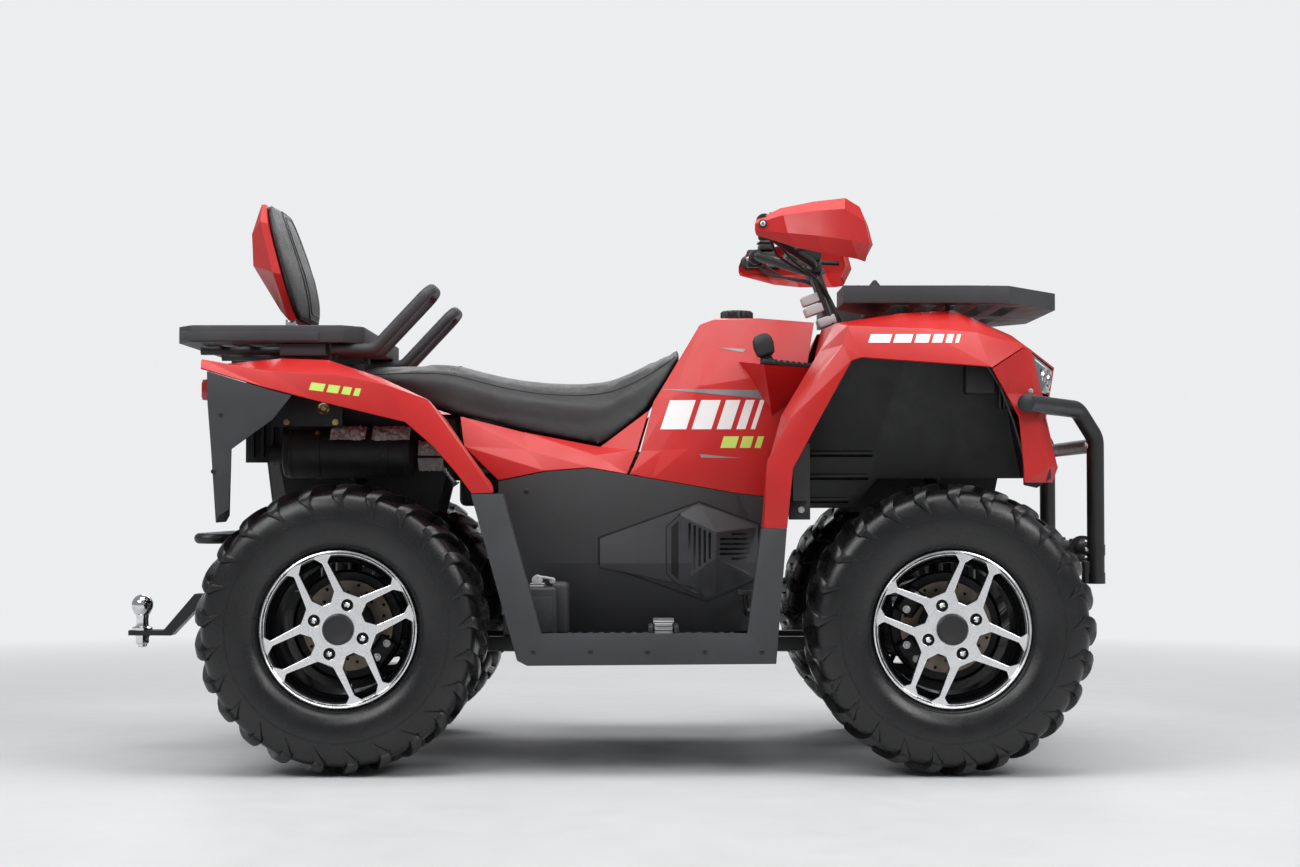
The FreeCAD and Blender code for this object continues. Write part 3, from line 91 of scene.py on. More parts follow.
# Materials
class Graph:
    """A material's nodes, built in short calls."""

    def __init__(self, name):
        self.material = bpy.data.materials.new(name)
        self.material.use_nodes = True
        self.tree = self.material.node_tree
        self.shader = self.tree.nodes["Principled BSDF"]
        self.place = self.add("ShaderNodeTexCoord").outputs["Object"]

    def add(self, kind, inputs=None, **props):
        item = self.tree.nodes.new(kind)
        for key, value in props.items():
            setattr(item, key, value)
        for key, value in (inputs or {}).items():
            self.feed(item.inputs[key], value)
        return item

    def feed(self, socket, value):
        if isinstance(value, bpy.types.NodeSocket):
            self.tree.links.new(value, socket)
        else:
            socket.default_value = value

    def stretched(self, x, y, z):
        scale = self.add("ShaderNodeMapping", {"Vector": self.place, "Scale": (x, y, z)})
        return scale.outputs["Vector"]

    def noise(self, scale, detail=3.0, place=None):
        inputs = {"Vector": place or self.place, "Scale": scale, "Detail": detail}
        return self.add("ShaderNodeTexNoise", inputs).outputs["Fac"]

    def cells(self, scale):
        inputs = {"Vector": self.place, "Scale": scale}
        return self.add("ShaderNodeTexVoronoi", inputs, feature="DISTANCE_TO_EDGE").outputs["Distance"]

    def spread(self, value, low, high, start=0.3, end=0.7):
        item = self.add("ShaderNodeMapRange", {
            "Value": value, "From Min": start, "From Max": end, "To Min": low, "To Max": high,
        })
        return item.outputs["Result"]

    def blend(self, value, first, second):
        item = self.add("ShaderNodeMix", data_type="RGBA")
        for socket, fed in (("Factor", value), (6, first), (7, second)):
            self.feed(item.inputs[socket], (*fed, 1.0) if isinstance(fed, tuple) else fed)
        return item.outputs[2]

    def bump(self, height, distance, strength=1.0, under=None):
        inputs = {"Height": height, "Distance": distance, "Strength": strength}
        if under is not None:
            inputs["Normal"] = under
        return self.add("ShaderNodeBump", inputs).outputs["Normal"]

    def finish(self, **inputs):
        for key, value in inputs.items():
            self.feed(self.shader.inputs[key.replace("_", " ")], value)
        return self.material

    def seen(self):
        """1 for what the camera sees, also in gloss and through glass, and 0 for light's own paths."""
        paths = self.add("ShaderNodeLightPath").outputs
        total = paths["Is Camera Ray"]
        for word in ("Is Glossy Ray", "Is Transmission Ray"):
            total = self.add("ShaderNodeMath", {0: total, 1: paths[word]}, operation="MAXIMUM").outputs[0]
        return total


def moulded(name, dark, light, rough, grain, depth, coat=0.0, coat_rough=0.2):
    """Moulded plastic or paint: two close tones in broad patches, uneven gloss and a fine grain."""
    g = Graph(name)
    patches = g.noise(7.0)
    fine = g.noise(grain, 2.0)
    colour = g.blend(g.spread(patches, 0.0, 1.0), dark, light)
    gloss = g.spread(g.noise(26.0, 5.0), rough[0], rough[1])
    return g.finish(Base_Color=colour, Roughness=gloss, Normal=g.bump(fine, depth),
                    Coat_Weight=coat, Coat_Roughness=coat_rough)


def metal(name, dark, light, rough, grain, depth, stretch=(1.0, 1.0, 1.0)):
    """Bare or plated metal with fine brushing along the axis that is stretched least."""
    g = Graph(name)
    lines = g.noise(grain, 3.0, g.stretched(*stretch))
    colour = g.blend(g.spread(g.noise(18.0), 0.0, 1.0), dark, light)
    gloss = g.spread(lines, rough[0], rough[1])
    return g.finish(Base_Color=colour, Roughness=gloss, Metallic=1.0, Normal=g.bump(lines, depth))


def vinyl(name, dark, light):
    """Seat cover: leather-like cells over a soft unevenness."""
    g = Graph(name)
    cell = g.cells(520.0)
    colour = g.blend(g.spread(g.noise(9.0), 0.0, 1.0), dark, light)
    gloss = g.spread(g.noise(60.0), 0.42, 0.56)
    grain = g.bump(g.spread(cell, 0.0, 1.0, 0.0, 0.25), 0.0004, 0.6)
    return g.finish(Base_Color=colour, Roughness=gloss, Normal=g.bump(g.noise(30.0), 0.0006, 0.5, grain))


def tyre_rubber(name):
    """Dressed rubber: near black, with a broken gloss and a fine pitted surface."""
    g = Graph(name)
    colour = g.blend(g.spread(g.noise(14.0), 0.0, 1.0), (0.004, 0.004, 0.0045), (0.009, 0.009, 0.010))
    gloss = g.spread(g.noise(22.0, 6.0), 0.20, 0.34)
    return g.finish(Base_Color=colour, Roughness=gloss, Normal=g.bump(g.noise(900.0, 2.0), 0.0003),
                    Specular_IOR_Level=0.52)


def turned_face(name, dark, light):
    """Machined alloy: fine rings about the wheel's own axis, which is Y through its origin."""
    g = Graph(name)
    flat = g.add("ShaderNodeMapping", {"Vector": g.place, "Scale": (1.0, 0.0, 1.0)}).outputs["Vector"]
    far = g.add("ShaderNodeVectorMath", {0: flat}, operation="LENGTH").outputs["Value"]
    inputs = {"W": far, "Scale": 420.0, "Detail": 2.0}
    rings = g.add("ShaderNodeTexNoise", inputs, noise_dimensions="1D").outputs["Fac"]
    colour = g.blend(g.spread(rings, 0.0, 1.0), dark, light)
    gloss = g.spread(g.noise(40.0), 0.20, 0.32)
    return g.finish(Base_Color=colour, Roughness=gloss, Metallic=1.0, Normal=g.bump(rings, 0.00006, 0.5))


RED = moulded("red_plastic", (0.46, 0.008, 0.007), (0.52, 0.012, 0.010),
              (0.38, 0.48), 700.0, 0.0001, 0.05, 0.3)
DARK = moulded("dark_plastic", (0.030, 0.031, 0.034), (0.040, 0.041, 0.045), (0.46, 0.60), 1300.0, 0.0005)
SIDE_DARK = moulded("side_plastic", (0.014, 0.0145, 0.016), (0.020, 0.0205, 0.0225),
                    (0.40, 0.54), 1300.0, 0.0005)
BLACK_PLASTIC = moulded("black_plastic", (0.010, 0.010, 0.011), (0.016, 0.016, 0.017),
                        (0.42, 0.58), 1100.0, 0.0005)
FRAME = moulded("frame_black", (0.010, 0.010, 0.011), (0.016, 0.016, 0.017), (0.30, 0.42), 800.0, 0.0003)
GLOSS_BLACK = moulded("gloss_black", (0.006, 0.006, 0.007), (0.010, 0.010, 0.011),
                      (0.10, 0.20), 500.0, 0.00005, 0.6, 0.08)
# Painted shade: near black for the hatch's groove, the scoop's mouth and the grille's gaps, where shade
# falls
SHADOW_BLACK = moulded("painted_shade_black", (0.0020, 0.0020, 0.0022), (0.0030, 0.0030, 0.0033),
                       (0.70, 0.80), 500.0, 0.0001)
GRIP = moulded("grip_rubber", (0.012, 0.012, 0.012), (0.020, 0.020, 0.020), (0.60, 0.75), 900.0, 0.0006)
CAST = metal("cast_metal", (0.12, 0.12, 0.125), (0.19, 0.19, 0.195), (0.42, 0.60), 160.0, 0.0010)
CAST_DARK = metal("cast_dark", (0.035, 0.035, 0.037), (0.06, 0.06, 0.063), (0.45, 0.62), 160.0, 0.0008)
CAST_BRIGHT = moulded("cast_bright", (0.46, 0.46, 0.47), (0.56, 0.56, 0.57), (0.38, 0.50), 240.0, 0.0004)
FOIL = moulded("heat_foil", (0.34, 0.33, 0.31), (0.72, 0.70, 0.67), (0.22, 0.34), 90.0, 0.0016)
STEEL = metal("plated_steel", (0.50, 0.50, 0.51), (0.62, 0.62, 0.63), (0.22, 0.36), 300.0, 0.0001,
              (1.0, 8.0, 1.0))
CHROME = metal("chrome", (0.70, 0.70, 0.71), (0.80, 0.80, 0.81), (0.06, 0.14), 120.0, 0.00003)
BRASS = metal("plated_gold", (0.48, 0.36, 0.16), (0.60, 0.46, 0.22), (0.25, 0.38), 300.0, 0.0001)
DISC = metal("disc_steel", (0.16, 0.135, 0.11), (0.24, 0.20, 0.165), (0.30, 0.45), 500.0, 0.0001)
MACHINED = turned_face("machined_alloy", (0.80, 0.80, 0.81), (0.93, 0.93, 0.94))
PIPING = moulded("sewn_piping", (0.010, 0.010, 0.011), (0.016, 0.016, 0.017), (0.34, 0.44), 600.0, 0.0002)
VINYL = vinyl("seat_vinyl", (0.020, 0.020, 0.021), (0.030, 0.030, 0.032))
TYRE = tyre_rubber("tyre_rubber")
LAMP_RED = moulded("lamp_red", (0.25, 0.004, 0.004), (0.36, 0.008, 0.006),
                   (0.10, 0.18), 300.0, 0.0001, 0.8, 0.05)
LAMP_GLASS = moulded("lamp_glass", (0.035, 0.037, 0.040), (0.060, 0.063, 0.068),
                     (0.05, 0.10), 200.0, 0.00005, 1.0, 0.03)
WHITE_PAINT = moulded("white_stripe", (0.78, 0.78, 0.78), (0.84, 0.84, 0.84), (0.34, 0.42), 700.0, 0.0001)
LIME_PAINT = moulded("lime_stripe", (0.52, 0.70, 0.12), (0.58, 0.78, 0.16), (0.34, 0.42), 700.0, 0.0001)
GREY_PAINT = moulded("grey_stripe", (0.14, 0.15, 0.16), (0.30, 0.31, 0.33), (0.34, 0.42), 700.0, 0.0001)

# Shapes
WELD = 2e-5
FLAT_DEGREES = 0.6
ORIGIN = Vector((0, 0, 0))
ALONG_X, ALONG_Y, UP = (1, 0, 0), (0, 1, 0), (0, 0, 1)


def turns(sides):
    """Even angles all round."""
    return [2 * math.pi * k / sides for k in range(sides)]


def around(start, axis, profile, sides):
    """A profile's points, as (distance along the axis, radius), at each angle round the axis."""
    axis = Vector(axis).normalized()
    across = axis.orthogonal().normalized()
    over = axis.cross(across)
    return [
        [start + axis * (along * MM) + (across * math.cos(a) + over * math.sin(a)) * (radius * MM)
         for along, radius in profile]
        for a in turns(sides)
    ]


class Build:
    """A mesh put together from simple solids, each new face in the paint that is set.

    Points are vectors in metres. Profiles, radii, bevels and a block's corners are in millimetres."""

    def __init__(self):
        self.bm = bmesh.new()
        self.paint = 0

    def face(self, verts):
        made = self.bm.faces.new(verts)
        made.material_index = self.paint
        return made

    def skin(self, rings, close=False):
        """Faces over rings of points, capped at both ends or closed from the last ring to the first."""
        rows = [[self.bm.verts.new(p) for p in ring] for ring in rings]
        for one, two in list(zip(rows, rows[1:])) + ([(rows[-1], rows[0])] if close else []):
            for j in range(len(one)):
                k = (j + 1) % len(one)
                self.face([one[j], one[k], two[k], two[j]])
        if not close:
            self.face(rows[0][::-1])
            self.face(rows[-1])
        return self

    def tube(self, path, radius, sides=16):
        """A round bar along a path of points."""
        runs = [(b - a).normalized() for a, b in zip(path, path[1:])]
        headings = [runs[0]] + [(a + b).normalized() for a, b in zip(runs, runs[1:])] + [runs[-1]]
        across = headings[0].orthogonal().normalized()
        rings = []
        for at, heading in zip(path, headings):
            across = (across - heading * across.dot(heading)).normalized()
            over = heading.cross(across)
            rings.append([
                at + (across * math.cos(a) + over * math.sin(a)) * (radius * MM) for a in turns(sides)
            ])
        return self.skin(rings)

    def turned(self, start, axis, profile, sides=48):
        """A solid of revolution from (distance along the axis, radius) stations, end to end."""
        return self.skin(list(zip(*around(start, axis, profile, sides))))

    def ring(self, start, axis, profile, sides=96):
        """A ring from closed (distance along the axis, radius) corners."""
        return self.skin(around(start, axis, profile, sides), close=True)

    def bolt(self, at, axis, radius, height):
        """A hexagon head on a washer."""
        washer = height * 0.25
        self.turned(at, axis, [(0, radius * 1.35), (washer, radius * 1.35)], 24)
        head = [(0, radius), (height * 0.6, radius), (height * 0.75, radius * 0.8)]
        return self.turned(at + Vector(axis).normalized() * (washer * MM), axis, head, 6)

    def screw(self, at, axis, radius, height):
        """A domed socket screw."""
        rise = ((0, 1), (0.5, 0.96), (0.85, 0.75), (1, 0.5), (0.98, 0.42), (0.4, 0.40))
        return self.turned(at, axis, [(height * h, radius * r) for h, r in rise], 20)

    def block(self, one, two, bevel=0.0, segments=2):
        """A box between two opposite corners, with rounded edges."""
        low = mm(*(min(pair) for pair in zip(one, two)))
        high = mm(*(max(pair) for pair in zip(one, two)))
        made = bmesh.ops.create_cube(self.bm, size=1.0)
        for v in made["verts"]:
            v.co = Vector([low[i] if v.co[i] < 0 else high[i] for i in range(3)])
        faces = {f for v in made["verts"] for f in v.link_faces}
        for f in faces:
            f.material_index = self.paint
        if bevel:
            edges = list({e for f in faces for e in f.edges})
            bmesh.ops.bevel(self.bm, geom=edges, offset=bevel * MM, segments=segments, profile=0.5,
                            affect="EDGES")
        return self

    def placed_block(self, place, one, two, bevel=0.0, segments=2):
        """A block whose corners are measured along a place's own axes."""
        return self.join(Build().block(one, two, bevel, segments).bm, place)

    def mesh(self, mesh, matrix=Matrix.Identity(4)):
        """Another mesh's faces, moved by a matrix."""
        before = len(self.bm.verts)
        count = len(self.bm.faces)
        self.bm.from_mesh(mesh)
        self.bm.verts.ensure_lookup_table()
        self.bm.faces.ensure_lookup_table()
        bmesh.ops.transform(self.bm, matrix=matrix, verts=self.bm.verts[before:])
        for f in self.bm.faces[count:]:
            f.material_index = self.paint
        return self

    def join(self, bm, matrix=Matrix.Identity(4)):
        """Takes in another bmesh, moved by a matrix, and frees it."""
        mesh = bpy.data.meshes.new("joined")
        bm.to_mesh(mesh)
        bm.free()
        return self.mesh(mesh, matrix)

    def mirror(self):
        """Adds the right-hand twin of all that is there."""
        all_of_it = self.bm.verts[:] + self.bm.edges[:] + self.bm.faces[:]
        copy = bmesh.ops.duplicate(self.bm, geom=all_of_it)["geom"]
        verts = [g for g in copy if isinstance(g, bmesh.types.BMVert)]
        bmesh.ops.scale(self.bm, vec=(1, -1, 1), verts=verts)
        return self

    def round_edges(self, width, segments=2, crease=20):
        """Bevels every edge that is sharper than the crease angle."""
        edges = [e for e in self.bm.edges if e.is_manifold and e.calc_face_angle(0) > math.radians(crease)]
        bmesh.ops.bevel(self.bm, geom=edges, offset=width * MM, segments=segments, profile=0.6,
                        affect="EDGES", clamp_overlap=True)
        return self

    def finished(self, name, crease):
        """The mesh, smooth but for the edges that are sharper than the crease angle."""
        bmesh.ops.recalc_face_normals(self.bm, faces=self.bm.faces)
        for f in self.bm.faces:
            f.smooth = True
        for e in self.bm.edges:
            e.smooth = e.calc_face_angle(0) < math.radians(crease)
        mesh = bpy.data.meshes.new(name)
        self.bm.to_mesh(mesh)
        self.bm.free()
        return mesh

    def piece(self, name, body, slot, materials, replaces=(), crease=35):
        """The finished object, riding on its body."""
        return object_of(name, self.finished(name, crease), body, materials, replaces)


def object_of(name, mesh, body, materials, replaces=(), at=ORIGIN):
    obj = bpy.data.objects.new(name, mesh)
    bpy.context.scene.collection.objects.link(obj)
    obj.location = at
    for material in materials:
        mesh.materials.append(material)
    if body:
        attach(obj, body)
    if replaces:
        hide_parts(*replaces)
    return obj


def rounded(corners, bend, steps=8):
    """A path through corners with an arc at each, its radius in millimetres."""
    path = [corners[0]]
    for before, corner, after in zip(corners, corners[1:], corners[2:]):
        into, out = (corner - before).normalized(), (after - corner).normalized()
        half = into.angle(out) / 2
        centre = corner + (out - into).normalized() * (bend * MM / math.cos(half))
        start = corner - into * (bend * MM * math.tan(half))
        axis = into.cross(out).normalized()
        for k in range(steps + 1):
            turn = Matrix.Rotation(2 * half * k / steps, 3, axis)
            path.append(centre + turn @ (start - centre))
    path.append(corners[-1])
    return path


def plate(outlines, thickness, bevel):
    """A flat plate in XY with holes, centred on Z=0, as a mesh with bevelled rims, all in metres."""
    curve = bpy.data.curves.new("plate", "CURVE")
    curve.dimensions = "2D"
    curve.fill_mode = "BOTH"
    curve.extrude = thickness / 2 - bevel
    curve.bevel_depth = bevel
    curve.bevel_resolution = 1
    curve.offset = -bevel
    for outline in outlines:
        spline = curve.splines.new("POLY")
        spline.points.add(len(outline) - 1)
        for point, (x, y) in zip(spline.points, outline):
            point.co = (x, y, 0, 1)
        spline.use_cyclic_u = True
    holder = bpy.data.objects.new("plate", curve)
    mesh = bpy.data.meshes.new_from_object(holder)
    bpy.data.objects.remove(holder)
    bpy.data.curves.remove(curve)
    return mesh


def softened(corners, radius, steps=4):
    """A 2-D outline with its corners rounded."""
    made = []
    count = len(corners)
    for i, (x, y) in enumerate(corners):
        here = Vector((x, y))
        into = Vector(corners[i - 1]) - here
        out = Vector(corners[(i + 1) % count]) - here
        reach = min(radius, into.length * 0.45, out.length * 0.45)
        a, b = here + into.normalized() * reach, here + out.normalized() * reach
        for k in range(steps + 1):
            u = k / steps
            made.append(tuple((1 - u) ** 2 * a + 2 * u * (1 - u) * here + u ** 2 * b))
    return made


def smooth_line(points, steps):
    """A Catmull-Rom line through points of any size."""
    made = []
    ends = [points[0]] + list(points) + [points[-1]]
    for four in zip(ends, ends[1:], ends[2:], ends[3:]):
        for k in range(steps):
            t = k / steps
            made.append(tuple(
                0.5 * (2 * b + (c - a) * t + (2 * a - 5 * b + 4 * c - d) * t ** 2
                       + (3 * b - a - 3 * c + d) * t ** 3)
                for a, b, c, d in zip(*four)
            ))
    made.append(tuple(points[-1]))
    return made


def slot_of(node):
    """The material slot that the part's record gives a node."""
    return next(s["material_slot"] for s in frame["record"]["subparts"] if s["node"] == node)


def dress(node, material, bevel):
    """A piece over a CAD node: the same faces, joined where flat and rounded at their edges."""
    b = Build().mesh(NODES[node].data)
    bmesh.ops.remove_doubles(b.bm, verts=b.bm.verts, dist=WELD)
    flat = math.radians(FLAT_DEGREES)
    bmesh.ops.dissolve_limit(b.bm, angle_limit=flat, verts=b.bm.verts, edges=b.bm.edges)
    b.round_edges(bevel, crease=6)
    b.piece(node + "_skin", NODES[node]["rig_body"], slot_of(node), [material], (node,), 25)


def own_axes(origin, forward, up=UP):
    """The matrix of a place whose X runs forward and whose Z is as near up as it can be."""
    x = Vector(forward).normalized()
    y = Vector(up).cross(x).normalized()
    return Matrix.Translation(origin) @ Matrix((x, y, x.cross(y))).transposed().to_4x4()


def tree_of(mesh):
    """A mesh's own faces, for finding places on its surface."""
    return BVHTree.FromPolygons([v.co.copy() for v in mesh.vertices], [p.vertices[:] for p in mesh.polygons])


def on_side(tree, x, z, side=-1):
    """The outermost point of a surface at a place in side view, and its normal."""
    at, normal = tree.ray_cast(Vector((x * MM, side, z * MM)), Vector((0, -side, 0)))[:2]
    return at, normal * (1 if normal.y * side > 0 else -1)


# Paint on the panels, and painted shade in the hatch's groove and the scoop's mouth
PAINT_OUT = 0.6
PAINT_THICK = 0.4


def edges_of(corners):
    """Each corner with the next, all round."""
    return zip(corners, corners[1:] + corners[:1])


def decal(name, node, material, outlines):
    """Paint on both sides of a node: convex outlines in side view, in millimetres, on its outer faces."""
    b = Build()
    for side in (-1, 1):
        for outline in outlines:
            part = bmesh.new()
            part.from_mesh(NODES[node].data)
            bmesh.ops.remove_doubles(part, verts=part.verts, dist=WELD)
            corners = [mm(x, 0, z) for x, z in outline]
            centre = sum(corners, Vector()) / len(corners)
            for one, two in edges_of(corners):
                across = (two - one).cross(Vector(ALONG_Y)).normalized()
                if across.dot(one - centre) < 0:
                    across = -across
                geom = part.verts[:] + part.edges[:] + part.faces[:]
                bmesh.ops.bisect_plane(part, geom=geom, plane_co=one, plane_no=across, clear_outer=True)
            part.normal_update()
            hidden = [f for f in part.faces
                      if f.normal.y * side < 0.3 or f.calc_center_median().y * side < 0]
            bmesh.ops.delete(part, geom=hidden, context="FACES")
            part.normal_update()
            for v in part.verts:
                v.co += v.normal * PAINT_OUT * MM
            bmesh.ops.solidify(part, geom=part.faces[:], thickness=PAINT_THICK * MM)
            b.join(part)
    b.piece(name, NODES[node]["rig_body"], slot_of(node), [material])


def slanted_bars(x, z, height, lean, widths, gap, fall=0.0):
    """Leaning bars in a row, each on a line that falls so much for each millimetre forward."""
    made = []
    start = x
    for width in widths:
        low = z - (x - start) * fall
        far = low - width * fall
        made.append([(x, low), (x + width, far), (x + width + lean, far + height), (x + lean, low + height)])
        x += width + gap
    return made


def edge_strips(corners, width):
    """Narrow strips just outside each edge of a convex outline."""
    centre = sum((Vector(c) for c in corners), Vector((0, 0))) / len(corners)
    made = []
    for one, two in edges_of(corners):
        one, two = Vector(one), Vector(two)
        out = Vector((two.y - one.y, one.x - two.x)).normalized() * width
        if out.dot(one - centre) < 0:
            out = -out
        run = (two - one).normalized() * width * 0.5
        made.append([tuple(p) for p in (one - run, two + run, two + run + out, one - run + out)])
    return made


TANK_DARTS = [
    [(124, 830), (352, 826), (364, 806)],
    [(216, 682), (220, 674), (312, 673)],
    [(258, 926), (322, 922), (316, 914)],
]
HATCH = [(-6, 495), (214, 573), (228, 568), (345, 525), (345, 408), (231, 358), (-6, 442)]
SCOOP = [(142, 520), (160, 536), (172, 548), (172, 391), (160, 399), (142, 418)]
SCOOP_MOUTH = [(152, 520), (168, 534), (168, 404), (152, 418)]


def paint():
    """Generic leaning bars and darts in the real one's colours, and painted shade in the hatch's groove and
    the scoop's mouth.
    """
    scoop_edges = edge_strips(SCOOP, 2.0)
    del scoop_edges[2]
    for name, node, material, outlines in (
        ("tank_white_bars", "tank_cover", WHITE_PAINT,
         slanted_bars(128, 738, 66, 22, (58, 44, 32, 20, 10), 12)),
        ("tank_lime_bars", "tank_cover", LIME_PAINT, slanted_bars(262, 696, 26, 8, (34, 24, 14), 9)),
        ("tank_grey_darts", "tank_cover", GREY_PAINT, TANK_DARTS),
        ("fender_white_bars", "front_fender", WHITE_PAINT,
         slanted_bars(566, 912, 19, 7, (46, 38, 30, 22, 14, 8), 7, -0.004)),
        ("rear_lime_bars", "rear_fenders", LIME_PAINT,
         slanted_bars(-614, 812, 16, 5, (30, 24, 18, 12), 7, 0.13)),
        # Painted shade: near black strips in the hatch's groove, and a near black sheet over the scoop's
        # mouth
        ("hatch_groove", "side_panels", SHADOW_BLACK, edge_strips(HATCH, 4.5)),
        ("hatch_scoop", "side_grilles", SHADOW_BLACK, scoop_edges + [SCOOP_MOUTH]),
    ):
        decal(name, node, material, outlines)


# Wheels and tyres
LUGS = 25
LUG_HEIGHT = 14
CROWN = TYRE_RADIUS / MM - LUG_HEIGHT
# Along a lug, from the middle of the tread to its point on the sidewall: the share of the
# carcass line, the lead in degrees, half the width and the height in mm
LUG_STATIONS = (
    (0.012, 9.5, 8.5, 11), (0.035, 8.7, 9.5, 14), (0.08, 6.9, 10.5, 14), (0.13, 4.9, 11, 14),
    (0.18, 3.1, 11.5, 14), (0.225, 1.6, 12.5, 13.5), (0.262, 0.5, 13, 12.5), (0.284, 0.1, 12, 11),
    (0.299, 0.3, 10, 5.5), (0.325, 0.9, 8, 4.8), (0.355, 1.8, 5.6, 3.8), (0.38, 2.7, 3.2, 2.6),
    (0.402, 3.6, 0.8, 0.8),
)
SIDEWALL_RIBS = ((176, 1.4), (236, 0.9))


def tyre_line(half, rim_half):
    """The carcass from the middle of the tread to the bead, as (y, radius) in millimetres."""
    return smooth_line([
        (0, CROWN), (half * 0.45, CROWN - 1), (half - 26, CROWN - 7), (half - 8, CROWN - 27),
        (half - 1.5, CROWN - 62), (half - 4, 202), (half - 14, 182),
        (rim_half - 2, 170), (rim_half - 8, 164), (rim_half - 10, 155),
    ], 6)


def tyre(name, half, rim_half):
    """A tyre about the Y axis at the world's origin, with curved lugs from shoulder to shoulder."""
    line = tyre_line(half, rim_half)
    inner = [(12 - rim_half, 168), (14 - half, 215), (0, CROWN - 14), (half - 14, 215), (rim_half - 12, 168)]
    b = Build()
    b.ring(ORIGIN, ALONG_Y, [(-y, r) for y, r in line[:0:-1]] + line + inner[::-1], 120)
    for radius, rise in SIDEWALL_RIBS:
        y, _ = min(line[len(line) // 2:], key=lambda p: abs(p[1] - radius))
        for side in (-1, 1):
            rib = ((y - 3, -2.5), (y + rise, -1.2), (y + rise, 1.2), (y - 3, 2.5))
            b.ring(ORIGIN, ALONG_Y, [(side * out, radius + step) for out, step in rib], 120)

    def spot(t, angle, height, side):
        """A point at a share of the way from the tread's middle to the lug's tip, over the carcass."""
        at = t * (len(line) - 1)
        i = min(int(at), len(line) - 2)
        (y0, r0), (y1, r1) = line[i], line[i + 1]
        out = Vector((r0 - r1, y1 - y0)).normalized() * height
        y = y0 + (y1 - y0) * (at - i) + out.x
        r = r0 + (r1 - r0) * (at - i) + out.y
        return mm(r * math.sin(angle), side * y, r * math.cos(angle))

    for side, offset in ((-1, 0.0), (1, 0.5)):
        for k in range(LUGS):
            start = 2 * math.pi * (k + offset) / LUGS
            rings = []
            for t, lead, width, height in LUG_STATIONS:
                turn = start + math.radians(lead)
                bulk = width * MM / TYRE_RADIUS
                foot = bulk * 1.2 + 0.004
                across = ((-foot, -3), (-bulk, height * 0.92), (-bulk * 0.82, height),
                          (bulk * 0.82, height), (bulk, height * 0.92), (foot, -3))
                rings.append([spot(t, turn + lean, high, side) for lean, high in across])
            b.skin(rings)
    return b.finished(name, 32)


def polar(radius, degrees):
    """A place in a plane by its distance and angle."""
    return (radius * math.cos(math.radians(degrees)), radius * math.sin(math.radians(degrees)))


def circle(centre, radius, sides):
    return [(centre[0] + radius * math.cos(a), centre[1] + radius * math.sin(a)) for a in turns(sides)]


def window(corners, axis, radius):
    """A window of the wheel's face, turned about the hub, from corners in millimetres."""
    turn = Matrix.Rotation(math.radians(axis), 2)
    return softened([tuple(turn @ Vector(p) * MM) for p in corners], radius * MM, 3)


# The long window between a pair of spokes, and the wide one between two pairs
SLOT = [(58, -9), (58, 9), (77, 25.5), (140, 27), (156.5, 14), (157.5, 0), (156.5, -14), (140, -27),
        (77, -25.5)]
SECTOR = [(78, 0), polar(80, -12.5), polar(144, -29.5)]
SECTOR += [polar(157, a) for a in (-26, -18, -9, 0, 9, 18, 26)] + [polar(144, 29.5), polar(80, 12.5)]
QUARTERS = (0, 90, 180, 270)
NUT_CIRCLE = 54.5
FACE_THICK = 26
# Paints of a wheel, in the order of its materials
POLISHED, PAINTED, CAPPED, PLATED, ROTOR = range(5)
WHEEL_MATERIALS = [MACHINED, GLOSS_BLACK, BLACK_PLASTIC, CHROME, DISC]


